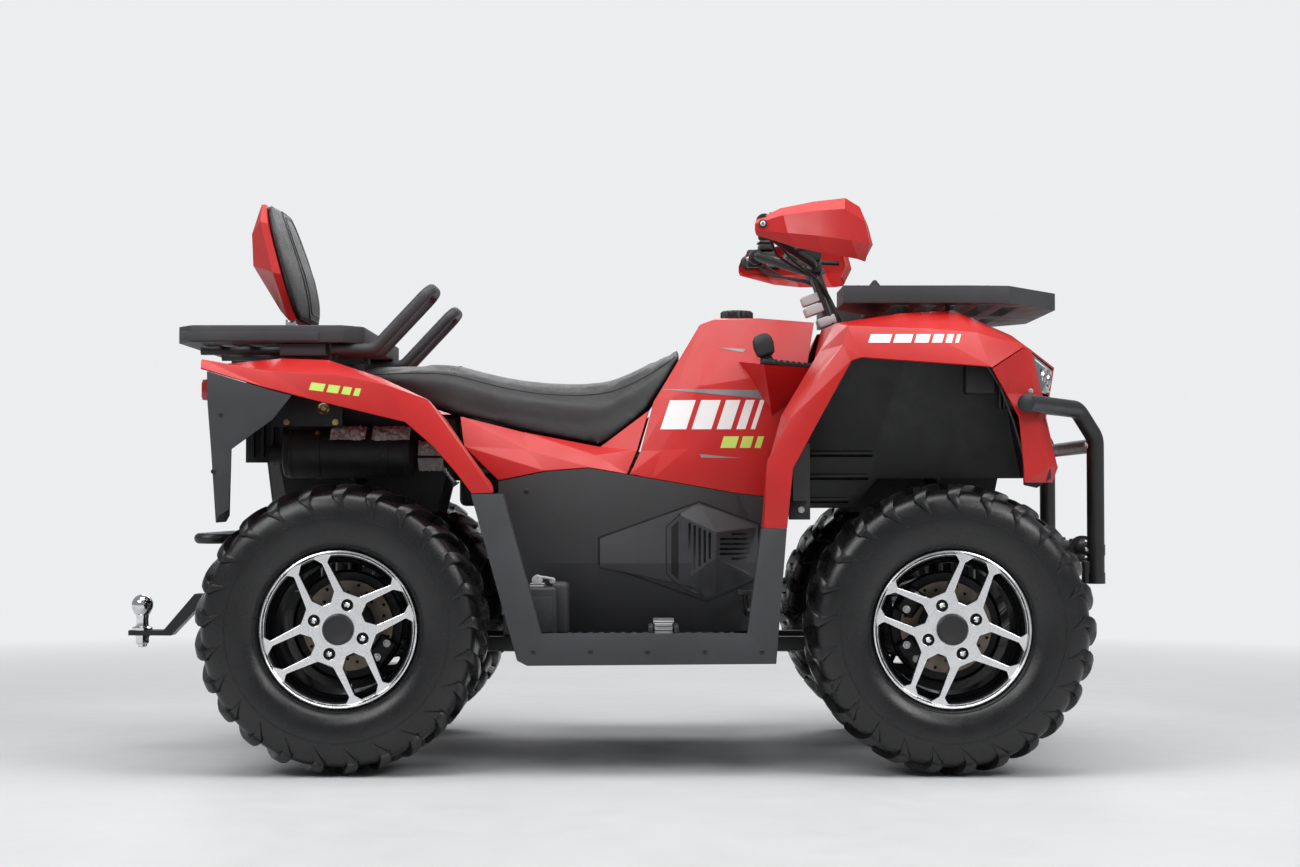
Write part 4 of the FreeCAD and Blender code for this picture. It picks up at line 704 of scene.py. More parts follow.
def rim(name, half, slot_angle, disc_in):
    """A wheel about the Y axis at the world's origin, with its outer face towards -Y."""
    outward = (0, -1, 0)
    out = 6 - half
    to_face = Matrix.Rotation(math.radians(90), 4, "X")
    between = [slot_angle + 45 + quarter for quarter in QUARTERS]
    nuts = [polar(NUT_CIRCLE * MM, angle) for angle in between]
    outlines = [circle((0, 0), 160 * MM, 120)]
    outlines += [window(SLOT, slot_angle + quarter, 2) for quarter in QUARTERS]
    outlines += [window(SECTOR, angle, 3) for angle in between]
    outlines += [circle(nut, 12.5 * MM, 24) for nut in nuts]
    b = Build()
    b.paint = PAINTED
    b.mesh(plate(outlines, FACE_THICK * MM, 1.2 * MM),
           Matrix.Translation(mm(0, out + FACE_THICK / 2, 0)) @ to_face)
    for f in b.bm.faces:
        f.normal_update()
        if f.normal.y < -0.5 and f.calc_center_median().y < (out + 4) * MM:
            f.material_index = POLISHED
    barrel = [(out + 9, 159), (out + 20, 156), (out + 30, 152), (out + 44, 140), (half - 40, 138),
              (half - 22, 150), (half - 4, 158), (half, 163), (half - 6, 165.5), (half - 10, 155),
              (half - 30, 153), (40 - half, 153), (10 - half, 154), (6 - half, 163)]
    b.ring(ORIGIN, ALONG_Y, barrel, 96)
    for radius in (146, 151):
        step = ((34, -1.2), (31, 0), (34, 1.2), (40, 6))
        b.ring(ORIGIN, ALONG_Y, [(out + y, radius + r) for y, r in step], 96)
    b.paint = POLISHED
    lip = ((5, 158.5), (1, 160.5), (-1.2, 163), (0, 165.6), (5, 166), (8, 158))
    b.ring(ORIGIN, ALONG_Y, [(a - half, r) for a, r in lip], 120)
    b.paint = CAPPED
    cap = [(0, 33), (7, 33), (9, 31.5), (15, 30.5), (17, 29), (17, 24), (16, 22), (16, 2)]
    b.turned(mm(0, out, 0), outward, cap, 48)
    for x, z in nuts:
        at = Vector((x, (out + 14) * MM, z))
        b.paint = CAPPED
        b.turned(at, outward, [(0, 12.8), (4, 12.8), (4.5, 9)], 24)
        b.paint = PLATED
        b.turned(at, outward, [(4, 8), (15, 8), (17.5, 6.5), (19, 3.5), (19.4, 0.6)], 6)
        b.turned(at + mm(0, -13, 0), outward, [(0, 6.6), (5, 5.6), (7, 3)], 24)
    b.paint = ROTOR
    drilled = [circle(polar((72 + 9 * (k % 3)) * MM, 15 * k), 3.5 * MM, 10) for k in range(24)]
    disc = plate([circle((0, 0), 98 * MM, 72), circle((0, 0), 60 * MM, 36)] + drilled, 4 * MM, 0.3 * MM)
    b.mesh(disc, Matrix.Translation(mm(0, disc_in, 0)) @ to_face)
    b.paint = CAPPED
    b.turned(mm(0, out + 20, 0), ALONG_Y, [(0, 56), (20, 56), (30, 62), (46, 62), (50, 40)], 48)
    return b.finished(name, 28)


# Half the tyre's and the rim's width, the first slot's angle and the brake disc's place
WHEELS = {"front": (102, 78, 68, 28), "rear": (127, 100, 25, 52)}


def wheels():
    """A tyre and a wheel in each corner, the left ones mirrored from the right."""
    for end, (half, rim_half, slot_angle, disc_in) in WHEELS.items():
        for side, flip in (("right", 1), ("left", -1)):
            place = f"{end}_{side}"
            rubber = tyre(f"tyre_{place}_tread", half, rim_half)
            alloy = rim(f"wheel_{place}_alloy", rim_half, slot_angle, disc_in)
            for kind, mesh, materials, slot in (
                ("tyre", rubber, [TYRE], "tyre_rubber"), ("wheel", alloy, WHEEL_MATERIALS, "wheel_alloy"),
            ):
                mesh.transform(Matrix.Diagonal((1, flip, 1, 1)))
                if flip < 0:
                    mesh.flip_normals()
                node = f"{kind}_{place}"
                centre = WHEEL_CENTRES[place]
                object_of(f"{node}_made", mesh, f"wheel_{place}", materials, (node,), centre)


# Pieces that keep the CAD node's own faces, with the bevel at their edges in millimetres
DRESSED = (
    ("tank_cover", RED, 2.0), ("seat_side_covers", RED, 1.6), ("rear_fenders", RED, 1.6),
    ("front_fender", RED, 1.8), ("front_fender_legs", RED, 1.6), ("front_fascia", RED, 1.8),
    ("side_panels", SIDE_DARK, 1.6), ("tail_panels", DARK, 1.6), ("footwell_skirts", DARK, 1.6),
    ("footboards", DARK, 2.0), ("front_rack", DARK, 6.0), ("rear_rack", DARK, 6.0),
    ("tail_lamps", LAMP_RED, 2.5), ("headlamps", LAMP_GLASS, 2.5), ("instrument", BLACK_PLASTIC, 4.0),
    ("skid_plate", CAST, 1.0), ("engine", CAST, 4.0), ("gearcases", CAST, 4.0), ("lower_rails", FRAME, 2.0),
    ("cross_members", FRAME, 1.5), ("hitch_receiver", FRAME, 1.0),
    ("steering_column", FRAME, 0.8), ("upper_frame", FRAME, 0.8), ("front_wishbones", FRAME, 0.8),
    ("rear_wishbones", FRAME, 0.8), ("knuckle_left", CAST, 1.5), ("knuckle_right", CAST, 1.5),
    ("rear_knuckles", CAST, 1.5), ("tie_rod_left", STEEL, 0.8), ("tie_rod_right", STEEL, 0.8),
    ("backrest_posts", CHROME, 0.6), ("front_liners", FRAME, 3.0), ("side_grilles", DARK, 1.2),
)

# Bent tubes
GRAB_RADIUS = 12.7
GRAB_LOW = 921 - GRAB_RADIUS
GRAB_HIGH = 1041
BAR_TUBE = [(350, 424, 1180), (368, 230, 1176), (480, 90, 1123)]
BUMPER = [(-636, 116, 494), (-812, 150, 494), (-906, 292, 494)]
HOOP_X = 1086
HOOP = [(896, 508, 784), (1040, 324, 778), (HOOP_X, 290, 716), (HOOP_X, 290, 400)]


def from_right(half):
    """A whole path from the right to the left, from its left half."""
    left = [mm(*p) for p in half]
    right = [Vector((p.x, -p.y, p.z)) for p in left]
    return right + left[::-1]


def tubes():
    """The grab handles, the handlebar, the rear bumper loop and the front bar."""
    grab = Build()
    corners = [mm(-590, 345, GRAB_LOW), mm(-498, 345, GRAB_LOW), mm(-374, 345, GRAB_HIGH),
               mm(-374, 225, GRAB_HIGH), mm(-498, 225, GRAB_LOW), mm(-590, 225, GRAB_LOW)]
    grab.tube(rounded(corners, 28), GRAB_RADIUS).mirror()
    grab.piece("grab_handle_tubes", "chassis", "frame_black", [DARK], ("grab_handles",))
    bar = Build().tube(rounded(from_right(BAR_TUBE), 40), 11)
    bar.piece("handlebar_tube", "steering", "frame_black", [FRAME], ("handlebar",))
    bumper = Build().tube(rounded(from_right(BUMPER), 30), 12)
    bumper.piece("rear_bumper_tube", "chassis", "frame_black", [FRAME], ("rear_bumper",))
    hoops = Build()
    hoops.tube(rounded([mm(*p) for p in HOOP], 40), 19, 24)
    hoops.tube([mm(HOOP_X, 115, 470), mm(862, 115, 262)], 14)
    hoops.mirror()
    for z in (700, 470):
        hoops.tube([mm(HOOP_X, -290, z), mm(HOOP_X, 290, z)], 16, 20)
    hoops.piece("bullbar_tubes", "chassis", "frame_black", [FRAME], ("bullbar",))


# Handlebar and controls, left side drawn and mirrored
BAR_END, BEND_END = (mm(*p) for p in BAR_TUBE[:2])
BAR_RUN = BAR_END - BEND_END


def on_bar(share):
    """A place on the grip's line, from the bend at 0 to the bar's end at 1."""
    return BEND_END + BAR_RUN * share


def grips():
    """Ribbed rubber sleeves with a collar at each end."""
    b = Build()
    length = BAR_RUN.length * 0.59 / MM
    ridges = 17
    profile = [(0, 22), (3, 22), (4, 17)]
    for k in range(ridges):
        start = 6 + (length - 14) * k / ridges
        profile += [(start, 15.4), (start + 1.2, 16.8), (start + 4.2, 16.8), (start + 5.2, 15.4)]
    profile += [(length - 6, 18), (length - 1, 18), (length, 16)]
    b.turned(on_bar(0.34), BAR_RUN, profile, 28)
    b.mirror().piece("grip_rubbers", "steering", "grip_rubber", [GRIP], ("grips",), 25)


def controls():
    """Clamps, switch boxes, brake cylinders with their pots, and lever blades."""
    b = Build()
    place = own_axes(on_bar(0.0), BAR_RUN)
    reach = BAR_RUN.length / MM
    b.turned(on_bar(0.06), BAR_RUN, [(0, 17), (1, 18.5), (17, 18.5), (18, 17)], 24)
    for start, stop, low, high, bevel, segments in (
        (0.205, 0.325, (-19, -23), (19, 21), 6, 3), (0.05, 0.26, (-46, -12), (-14, 14), 5, 2),
        (0.04, 0.30, (-44, 16), (-8, 34), 5, 3), (0.03, 0.31, (-46, 34), (-6, 39), 2, 2),
    ):
        b.placed_block(place, (reach * start, *low), (reach * stop, *high), bevel, segments)
    blade = ((398, 258, 1172), (428, 292, 1173), (434, 340, 1172), (424, 392, 1170), (420, 414, 1169))
    b.tube(rounded([mm(*p) for p in blade], 22, 5), 5.2, 12)
    b.turned(mm(420, 408, 1169), ALONG_Y, [(0, 5), (2, 7.5), (8, 8), (12, 5)], 16)
    b.paint = 1
    for share in (0.07, 0.27):
        b.screw(place @ mm(reach * share, -26, 38.5), UP, 3.2, 2.4)
    b.bolt(place @ mm(reach * 0.10, -30, -12), (0, 0, -1), 5, 6)
    b.bolt(place @ mm(reach * 0.12, 19, -4), (-1, 0, 0), 4.5, 5)
    b.screw(mm(404, 262, 1179), UP, 5.5, 4)
    b.paint = 2
    b.placed_block(place, (reach * 0.235, 18, -2), (reach * 0.295, 22.5, 10), 1.5)
    b.mirror().piece("bar_controls", "steering", "dark_plastic", [BLACK_PLASTIC, STEEL, LAMP_RED],
                     ("control_levers",), 30)


COLUMN_FOOT = (749, 0, 400)
RAKE = math.radians(20)
COLUMN_UP = Vector((-math.sin(RAKE), 0, math.cos(RAKE)))


def on_column(z, back=0.0, y=0.0):
    """A place beside the steering column at a height."""
    up = COLUMN_UP * ((z - COLUMN_FOOT[2]) * MM / math.cos(RAKE))
    return mm(*COLUMN_FOOT) + up + mm(-back, y, 0)


def column_fittings():
    """The risers that carry the bar, their clamps, and the alloy bracket low on the column."""
    b = Build()
    for y in (-24, 24):
        b.tube([on_column(985, 4, y), on_column(1108, 4, y)], 10, 20)
        b.turned(on_column(1102, 2, y), COLUMN_UP, [(0, 13), (14, 15), (22, 15)], 20)
    b.placed_block(own_axes(on_column(1122), ALONG_X), (-18, -48, -17), (18, 48, 17), 6, 3)
    b.paint = 1
    for z, back, low, high, bevel in (
        (1024, 34, (-22, -30, -11), (26, 30, 10), 2.5), (1047, 34, (-20, -28, -10), (26, 28, 11), 2.5),
        (998, 18, (-18, -34, -14), (24, 34, 8), 3),
    ):
        b.placed_block(own_axes(on_column(z, back), (math.cos(RAKE), 0, math.sin(RAKE))), low, high, bevel)
    b.paint = 2
    for x in (-9, 9):
        for y in (-34, 34):
            b.bolt(on_column(1122) + mm(x, y, 17), UP, 4, 6)
    b.turned(on_column(1028, -14, 20), COLUMN_UP, [(0, 4), (2, 5.5), (20, 5.5), (24, 3.5)], 16)
    b.piece("column_risers", "steering", "frame_black", [FRAME, CAST_BRIGHT, STEEL])


CABLE_ROUTES = (
    [(372, 262, 1158), (396, 196, 1128), (452, 96, 1106), (496, 42, 1088), (530, 30, 1030), (551, 26, 968)],
    [(386, 250, 1156), (432, 176, 1118), (480, 84, 1096), (514, 40, 1064), (545, 22, 1006), (560, 16, 960)],
)
CABLE_RADII = (3.4, 2.9)
# Steps between two points of a route
CABLE_STEPS = 7


def cables():
    """Control cables from the clamps to the slot round the column."""
    for i, (route, radius) in enumerate(zip(CABLE_ROUTES, CABLE_RADII)):
        for side, word in ((1, "left"), (-1, "right")):
            points = [mm(x, y * side, z) for x, y, z in smooth_line(route, CABLE_STEPS)]
            made = Build().tube(points, radius, 10)
            piece = made.piece(f"control_cable_{i}_{word}", None, "dark_plastic", [GRIP])
            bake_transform(piece)


# The left guard's outer face: columns from the bar's end forward, each from the top down
GUARD = (
    ((333, 424, 1181), (330, 431, 1172), (330, 432, 1158), (333, 428, 1149)),
    ((385, 414, 1208), (391, 434, 1191), (400, 436, 1152), (421, 412, 1124)),
    ((462, 368, 1229), (466, 398, 1205), (467, 412, 1149), (482, 384, 1115)),
    ((534, 322, 1243), (530, 352, 1215), (545, 352, 1146), (562, 322, 1109)),
    ((568, 296, 1227), (578, 306, 1194), (590, 296, 1144), (582, 280, 1108)),
    ((577, 262, 1212), (590, 258, 1190), (601, 256, 1148), (583, 250, 1112)),
    ((570, 232, 1196), (580, 228, 1180), (586, 226, 1152), (574, 226, 1124)),
)
GUARD_WALL = 3.0
GUARD_AXIS = (340, 190)


def guards():
    """Faceted shells in front of the hands, with a bright chamfer along the top and a turned-in end."""
    b = Build()
    rings = []
    for column in GUARD:
        outer = [Vector(p) for p in column]
        inner = [p + (Vector((*GUARD_AXIS, p.z)) - p).normalized() * GUARD_WALL for p in outer]
        rings.append([p * MM for p in outer + inner[::-1]])
    b.skin(rings)
    b.round_edges(0.9, 2, 7)
    b.mirror().piece("guard_shells", "steering", "red_plastic", [RED], ("hand_guards",), 18)
    stay = Build()
    stay.tube(rounded([mm(352, 424, 1172), mm(380, 426, 1172), mm(430, 402, 1168)], 14), 6, 12)
    stay.tube(rounded([mm(430, 160, 1146), mm(500, 200, 1158), mm(566, 240, 1160)], 24), 6, 12)
    stay.mirror().piece("guard_stays", "steering", "frame_black", [FRAME])


def guard_screws():
    """A socket screw through each guard into the bar's end."""
    b = Build()
    for side in (-1, 1):
        spot, normal = mm(347, side * 434, 1172), Vector((-0.1, side, 0.15)).normalized()
        b.paint = 1
        b.turned(spot - normal * 0.5 * MM, normal, [(0, 9.5), (0.8, 9.5)], 24)
        b.paint = 0
        b.screw(spot, normal, 6.5, 4.5)
    b.piece("guard_screws", "steering", "shaft_steel", [STEEL, BLACK_PLASTIC])


def instrument_face():
    """A dark screen in a bezel with two buttons, on the pod's face towards the rider."""
    b = Build()
    low, high = mm(430, 0, 1133.5), mm(415, 0, 1226)
    place = own_axes((low + high) / 2, ALONG_Y, high - low)
    b.placed_block(place, (-52, 0, -38), (52, 5, 38), 3, 3)
    b.paint = 1
    b.placed_block(place, (-43, 3, -22), (43, 6.2, 30), 1.2)
    b.paint = 2
    for x in (-20, 20):
        b.placed_block(place, (x - 9, 3, -33), (x + 9, 7.5, -26), 1.5)
    b.piece("instrument_face", "steering", "dark_plastic", [BLACK_PLASTIC, GLOSS_BLACK, GREY_PAINT])


def gate_ledge():
    """The faceted shelf that the selector stands on, with the tank drawn in below it."""
    tank = tree_of(NODES["tank_cover"].data)
    low_left, low_right, high_left, high_right = (
        on_side(tank, x, z)[0] for x, z in ((379, 764), (415, 790), (303, 893), (425, 832))
    )
    sunk = mm(0, 4, 0)
    outline = [high_left + sunk, mm(356, -300, 878), mm(474, -300, 869), high_right + mm(36, 0, 10) + sunk,
               low_right + sunk, low_left + sunk]
    b = Build()
    corners = [b.bm.verts.new(p) for p in outline]
    backs = [b.bm.verts.new(p + mm(0, 60, 0)) for p in outline]
    for face in ((0, 1, 5), (1, 2, 4, 5), (2, 3, 4)):
        b.face([corners[i] for i in face])
    for (a, d), (e, f) in edges_of(list(zip(corners, backs))):
        b.face((a, e, f, d))
    b.face(backs)
    b.piece("gate_ledge", "chassis", "red_plastic", [RED], crease=10)


# Height and half the length and width of the knob, from its foot up
KNOB_SECTIONS = ((-24, 13, 13), (-18, 20, 18), (2, 23, 21), (16, 21, 19), (25, 15, 14), (28, 9, 9))


def selector():
    """A gaiter in a slotted gate with a faceted knob."""
    b = Build()
    slope = own_axes(mm(415, -264, 880), (0.994, 0, -0.105))
    b.placed_block(slope, (-64, -39, -6), (62, 40, 4), 2)
    b.placed_block(slope, (-58, -41, -2), (56, -36, 2), 1, 1)
    for k in range(8):
        b.placed_block(slope, (-50 + k * 13, -42, -3), (-44 + k * 13, -30, 6), 0.8, 1)
    gaiter = [(0, 17), (4, 15), (6, 17), (10, 13.5), (12, 15), (16, 11), (18, 11.5), (24, 8)]
    b.turned(mm(366, -264, 882), (-0.28, 0, 0.96), gaiter, 24)
    tilt = own_axes(mm(357, -264, 921), (0.96, 0, 0.28))
    sections = []
    for z, half_x, half_y in KNOB_SECTIONS:
        ring = softened([(half_x, half_y), (-half_x, half_y), (-half_x, -half_y), (half_x, -half_y)], 8, 3)
        sections.append([tilt @ mm(x, y, z) for x, y in ring])
    b.skin(sections)
    b.piece("gear_selector_knob", "chassis", "dark_plastic", [BLACK_PLASTIC], ("gear_selector",), 28)


CAP_X = 308
CAP_LOBES = 18
# Height, radius and depth of the lobes up the filler cap, and back down inside its rim
CAP_STATIONS = (
    (1000.4, 37, 0), (1003, 38, 0), (1004, 36, 2.2), (1017, 36, 2.2), (1021, 33, 1.2), (1022, 24, 0),
    (1020.5, 22, 0), (1020.5, 2, 0),
)


def filler_cap():
    """A lobed cap on the tank."""
    rings = []
    for z, radius, depth in CAP_STATIONS:
        ring = []
        for j, a in enumerate(turns(CAP_LOBES * 4)):
            reach = radius + depth * math.cos(math.pi / 2 * j)
            ring.append(mm(CAP_X + reach * math.cos(a), reach * math.sin(a), z))
        rings.append(ring)
    cap = Build().skin(rings)
    cap.piece("fuel_filler_cap", "chassis", "dark_plastic", [BLACK_PLASTIC], ("fuel_cap",), 30)


# Drive, springs and exhaust
COIL_TURNS = 6
COIL_STEPS = 18


def shocks():
    """Shock absorbers with a coil spring between two seats, and bolts through both eyes."""
    b = Build()
    for x in (AXLE_FRONT, AXLE_REAR):
        for side in (-1, 1):
            low, high = Vector((x, side * 250 * MM, 402 * MM)), Vector((x, side * 165 * MM, 636 * MM))
            length = (high - low).length / MM
            b.paint = 0
            for eye in (low, high):
                b.turned(eye - mm(16, 0, 0), ALONG_X, [(0, 17), (2, 18), (30, 18), (32, 17)], 24)
            body = [(14, 16), (40, 16), (42, 28), (47, 28), (48, 19), (130, 19), (131, 8), (length - 38, 8),
                    (length - 37, 27), (length - 30, 27), (length - 28, 14), (length - 15, 14)]
            axis = (high - low).normalized()
            b.turned(low, axis, body, 24)
            b.paint = 1
            across = axis.cross(Vector(ALONG_X)).normalized()
            over = axis.cross(across)
            coil = []
            for k in range(COIL_TURNS * COIL_STEPS + 1):
                a = 2 * math.pi * k / COIL_STEPS
                up = 49 + (length - 88) * k / (COIL_TURNS * COIL_STEPS)
                coil.append(low + (axis * up + (across * math.cos(a) + over * math.sin(a)) * 24) * MM)
            b.tube(coil, 4.6, 10)
            b.paint = 2
            for eye in (low, high):
                b.bolt(eye + mm(16, 0, 0), ALONG_X, 8, 8)
                b.bolt(eye - mm(16, 0, 0), (-1, 0, 0), 8, 8)
    b.piece("spring_struts", "chassis", "spring_black", [FRAME, GLOSS_BLACK, STEEL], ("shock_absorbers",))


def axle_shafts():
    """Half-shafts with a cup, a bellows and its two clips at the inner end."""
    b = Build()
    for x in (AXLE_FRONT, AXLE_REAR):
        for side in (-1, 1):
            at = Vector((x, side * 75 * MM, AXLE_Z))
            out = (0, side, 0)
            b.paint = 0
            b.turned(at, out, [(0, 33), (6, 33), (8, 29), (74, 29), (76, 26)], 32)
            bellows = [(76, 30)]
            for k in range(5):
                bellows += [(80 + k * 12, 36 - k * 4), (86 + k * 12, 29 - k * 3.6)]
            b.turned(at, out, bellows + [(142, 15), (146, 15)], 36)
            b.paint = 1
            b.turned(at + mm(0, side * 140, 0), out, [(0, 12), (105, 12)], 24)
            for y, radius in ((75, 31.5), (141, 16.4)):
                b.turned(at + mm(0, side * y, 0), out, [(0, radius), (5, radius)], 32)
    b.piece("axle_shafts", "chassis", "shaft_steel", [GRIP, STEEL], ("half_shafts",), 28)


def hub_fittings():
    """A splash shield and its calipers beside each brake disc, on what carries the wheel."""
    for end, inward, angles in (("front", 46, (145, 215)), ("rear", 70, (35,))):
        for side, word in ((1, "left"), (-1, "right")):
            centre = WHEEL_CENTRES[f"{end}_{word}"]
            b = Build()
            shield = [(0, 30), (0, 116), (-7, 121), (-8, 119), (2, 114), (2, 30)]
            b.ring(centre - mm(0, side * inward, 0), (0, -side, 0), shield, 64)
            face = -side * (inward - 30)
            for degrees in angles:
                place = Matrix.Translation(centre) @ Matrix.Rotation(math.radians(degrees), 4, "Y")
                b.paint = 0
                b.placed_block(place, (70, face, -30), (114, -side * (inward + 8), 30), 7, 3)
                b.paint = 1
                for z in (-18, 18):
                    b.bolt(place @ mm(92, face, z), (0, side, 0), 6, 5)
            body = f"steer_knuckle_{word}" if end == "front" else "chassis"
            b.piece(f"brake_{end}_{word}", body, "dark_plastic", [CAST_DARK, STEEL])


CAN_Y, CAN_Z = -245, 682
CAN_AXIS = mm(-708, CAN_Y, CAN_Z)
# First and last x, first and last angle, and radius of each wrap of foil
FOIL_WRAPS = ((-600, -522, 62, 150, 60), (-508, -424, 62, 150, 60), (-408, -352, -170, 180, 32))
FOIL_COLUMNS, FOIL_ROWS = 44, 40


def exhaust():
    """The can with its bands and end caps, the pipe to it and a threaded stay."""
    b = Build()
    can = [(0, 20), (2, 48), (5, 52), (14, 53), (16, 55), (22, 55), (23, 54), (272, 54), (273, 55),
           (282, 55), (286, 50), (297, 26)]
    b.turned(CAN_AXIS, ALONG_X, can, 64)
    for x in (70, 220):
        b.turned(CAN_AXIS + mm(x, 0, 0), ALONG_X, [(0, 54), (0.5, 55.6), (15.5, 55.6), (16, 54)], 64)
    tail = [(0, 16), (0, 19.6), (34, 20), (34, 16), (4, 15)]
    b.turned(CAN_AXIS - mm(32, 0, 0), ALONG_X, tail, 32)
    b.block((-625, -216, 636), (-600, -126, 646), 1.5)
    b.block((-622, -222, 640), (-603, -196, 676), 1.5)
    pipe = [mm(-416, CAN_Y, CAN_Z), mm(-350, -240, 676), mm(-290, -206, 628), mm(-236, -128, 520)]
    b.tube(rounded(pipe, 30), 18, 24)
    b.paint = 1
    for x in (78, 228):
        b.bolt(CAN_AXIS + mm(x, -30, 46), (0, -0.55, 0.83), 4.5, 5)
    b.piece("exhaust_can", "chassis", "dark_plastic", [BLACK_PLASTIC, BRASS], ("silencer",), 30)
    stay = Build()
    low, high = mm(-330, -214, 616), mm(-361, -214, 656)
    run = (high - low).length / MM
    stay.turned(low, high - low, [(run * k / 24, 5.6 if k % 2 else 4.6) for k in range(25)], 20)
    stay.turned(low, low - high, [(0, 10), (3, 10)], 6)
    stay.piece("threaded_stay", "chassis", "shaft_steel", [STEEL])


def heat_foil():
    """Crumpled foil over the can and round the pipe."""
    foil = Build()
    for start, stop, low, high, radius in FOIL_WRAPS:
        drop = 4 if radius < 50 else 0
        rows = []
        for i in range(FOIL_COLUMNS + 1):
            x = start + (stop - start) * i / FOIL_COLUMNS
            row = []
            for j in range(FOIL_ROWS + 1):
                a = math.radians(low + (high - low) * j / FOIL_ROWS)
                reach = radius + noise.noise(Vector((x * 0.11, math.cos(a) * 5, math.sin(a) * 5))) * 5
                reach += abs(noise.noise(Vector((x * 0.27, a * 6, 3)))) * 4
                row.append(mm(x, CAN_Y + reach * math.cos(a), CAN_Z + reach * math.sin(a) - drop))
            inner = [p + (mm(0, CAN_Y, CAN_Z) - Vector((0, p.y, p.z))).normalized() * 0.8 * MM for p in row]
            rows.append(row + inner[::-1])
        foil.skin(rows)
    foil.piece("heat_foil", "chassis", "shaft_steel", [FOIL], crease=18)


def hitch():
    """The ball with its shank and nut, and the bent drop bar with its cross pin."""
    b = Build()
    ball = [(-22, 16), (-20, 18)] + [polar(25, a)[::-1] for a in range(-36, 90, 9)] + [(25, 1)]
    down = (0, 0, -1)
    for z, axis, profile, sides in (
        (335, UP, ball, 40), (277.5, UP, [(0, 24), (5, 24), (9, 15), (24, 14), (38, 15.5)], 40),
        (265, down, [(0, 19), (3, 19), (3, 17), (17, 17), (20, 14)], 6),
        (250, down, [(0, 11), (10, 11), (12, 9)], 20),
    ):
        b.turned(mm(-1078, 0, z), axis, profile, sides)
    b.piece("tow_ball_chrome", "chassis", "chrome_tube", [CHROME])
    drop = Build()
    side_view = [(-1105, 266), (-1105, 277.5), (-1024, 277.5), (-952, 362), (-700, 362), (-700, 330.5),
                 (-944, 330.5), (-1006, 265.5)]
    drop.skin([[mm(x, y, z) for x, z in side_view] for y in (-25, 25)])
    drop.round_edges(2.2, 3, 20)
    drop.paint = 1
    drop.turned(mm(-868, -40, 346), ALONG_Y, [(0, 7), (80, 7)], 20)
    drop.ring(mm(-868, 38, 346), ALONG_Y, [(0, 12), (3, 12), (3, 15), (0, 15)], 24)
    drop.turned(mm(-868, -44, 346), ALONG_Y, [(0, 9), (3, 10), (5, 9)], 20)
    drop.piece("tow_bar", "chassis", "frame_black", [FRAME, STEEL], ("tow_hitch",), 25)


def pegs():
    """The cast peg and the covered step block on each footboard."""
    b = Build()
    b.block((-160, 300, 286.5), (-96, 400, 392), 8, 3)
    b.block((-112, 296, 286.5), (-71, 372, 402), 12, 4)
    b.block((-150, 398, 296), (-104, 403, 372), 2)
    for x in (101, 156):
        b.block((x, 318, 286.5), (x + 11, 424, 311), 4, 3)
    b.paint = 1
    b.block((113, 322, 287), (155, 418, 319), 2)
    for k in range(7):
        b.block((111, 326 + k * 13.5, 315), (157, 331 + k * 13.5, 323), 1.2)
    for z in (292, 301, 310):
        b.block((115, 416, z), (153, 420.5, z + 4.5), 1)
    b.block((-156, 322, 391), (-122, 388, 399), 2)
    clamp = [(0, 8), (1, 11), (9, 11), (10, 8), (24, 8), (25, 11), (33, 11), (34, 8)]
    b.turned(mm(-139, 352, 407), ALONG_Y, clamp, 24)
    b.turned(mm(-107, 340, 405), ALONG_Y, [(0, 5), (1, 6.5), (26, 6.5), (27, 5)], 20)
    b.tube([mm(-139, 386, 415), mm(-118, 372, 412), mm(-107, 366, 409)], 3, 10)
    b.mirror().piece("peg_castings", "chassis", "shaft_steel", [DARK, CAST_BRIGHT], ("foot_pegs",), 28)


def footboard_tread():
    """Rows of raised pads on the boards, but for the places under the blocks and pegs."""
    tread = Build()
    for x in range(-104, 281, 24):
        for y in range(262, 445, 26):
            if not (x < -60 and y > 290 or 95 < x < 165 and y > 296):
                tread.block((x, y, 285.5), (x + 12, y + 14, 288.5), 1.2, 1)
    tread.mirror().piece("footboard_tread", "chassis", "dark_plastic", [DARK])


def brake_pedal():
    """The pedal on the right board, with its pivot and stop screws."""
    pedal = Build()
    pedal.tube(rounded([mm(318, -262, 330), mm(318, -300, 332), mm(312, -306, 376)], 14), 6, 12)
    pedal.block((296, -334, 372), (330, -282, 384), 2.5)
    pedal.paint = 1
    pedal.screw(mm(322, -300, 340), (0, -1, 0), 5, 7)
    pedal.screw(mm(330, -276, 352), (0, -1, 0), 4, 8)
    pedal.piece("brake_pedal", "chassis", "frame_black", [FRAME, STEEL])


ARCH_WALL = [(-806, 664), (-322, 664), (-334, 700), (-372, 770), (-470, 812), (-590, 850), (-806, 856)]
INNER_SHIELDS = (
    [(-716, 552), (-380, 552), (-352, 668), (-740, 668)],
    [(560, 552), (880, 552), (905, 672), (548, 672)],
)
LEG_BRACKET = [(905, 656), (962, 656), (964, 626), (934, 606), (908, 612)]


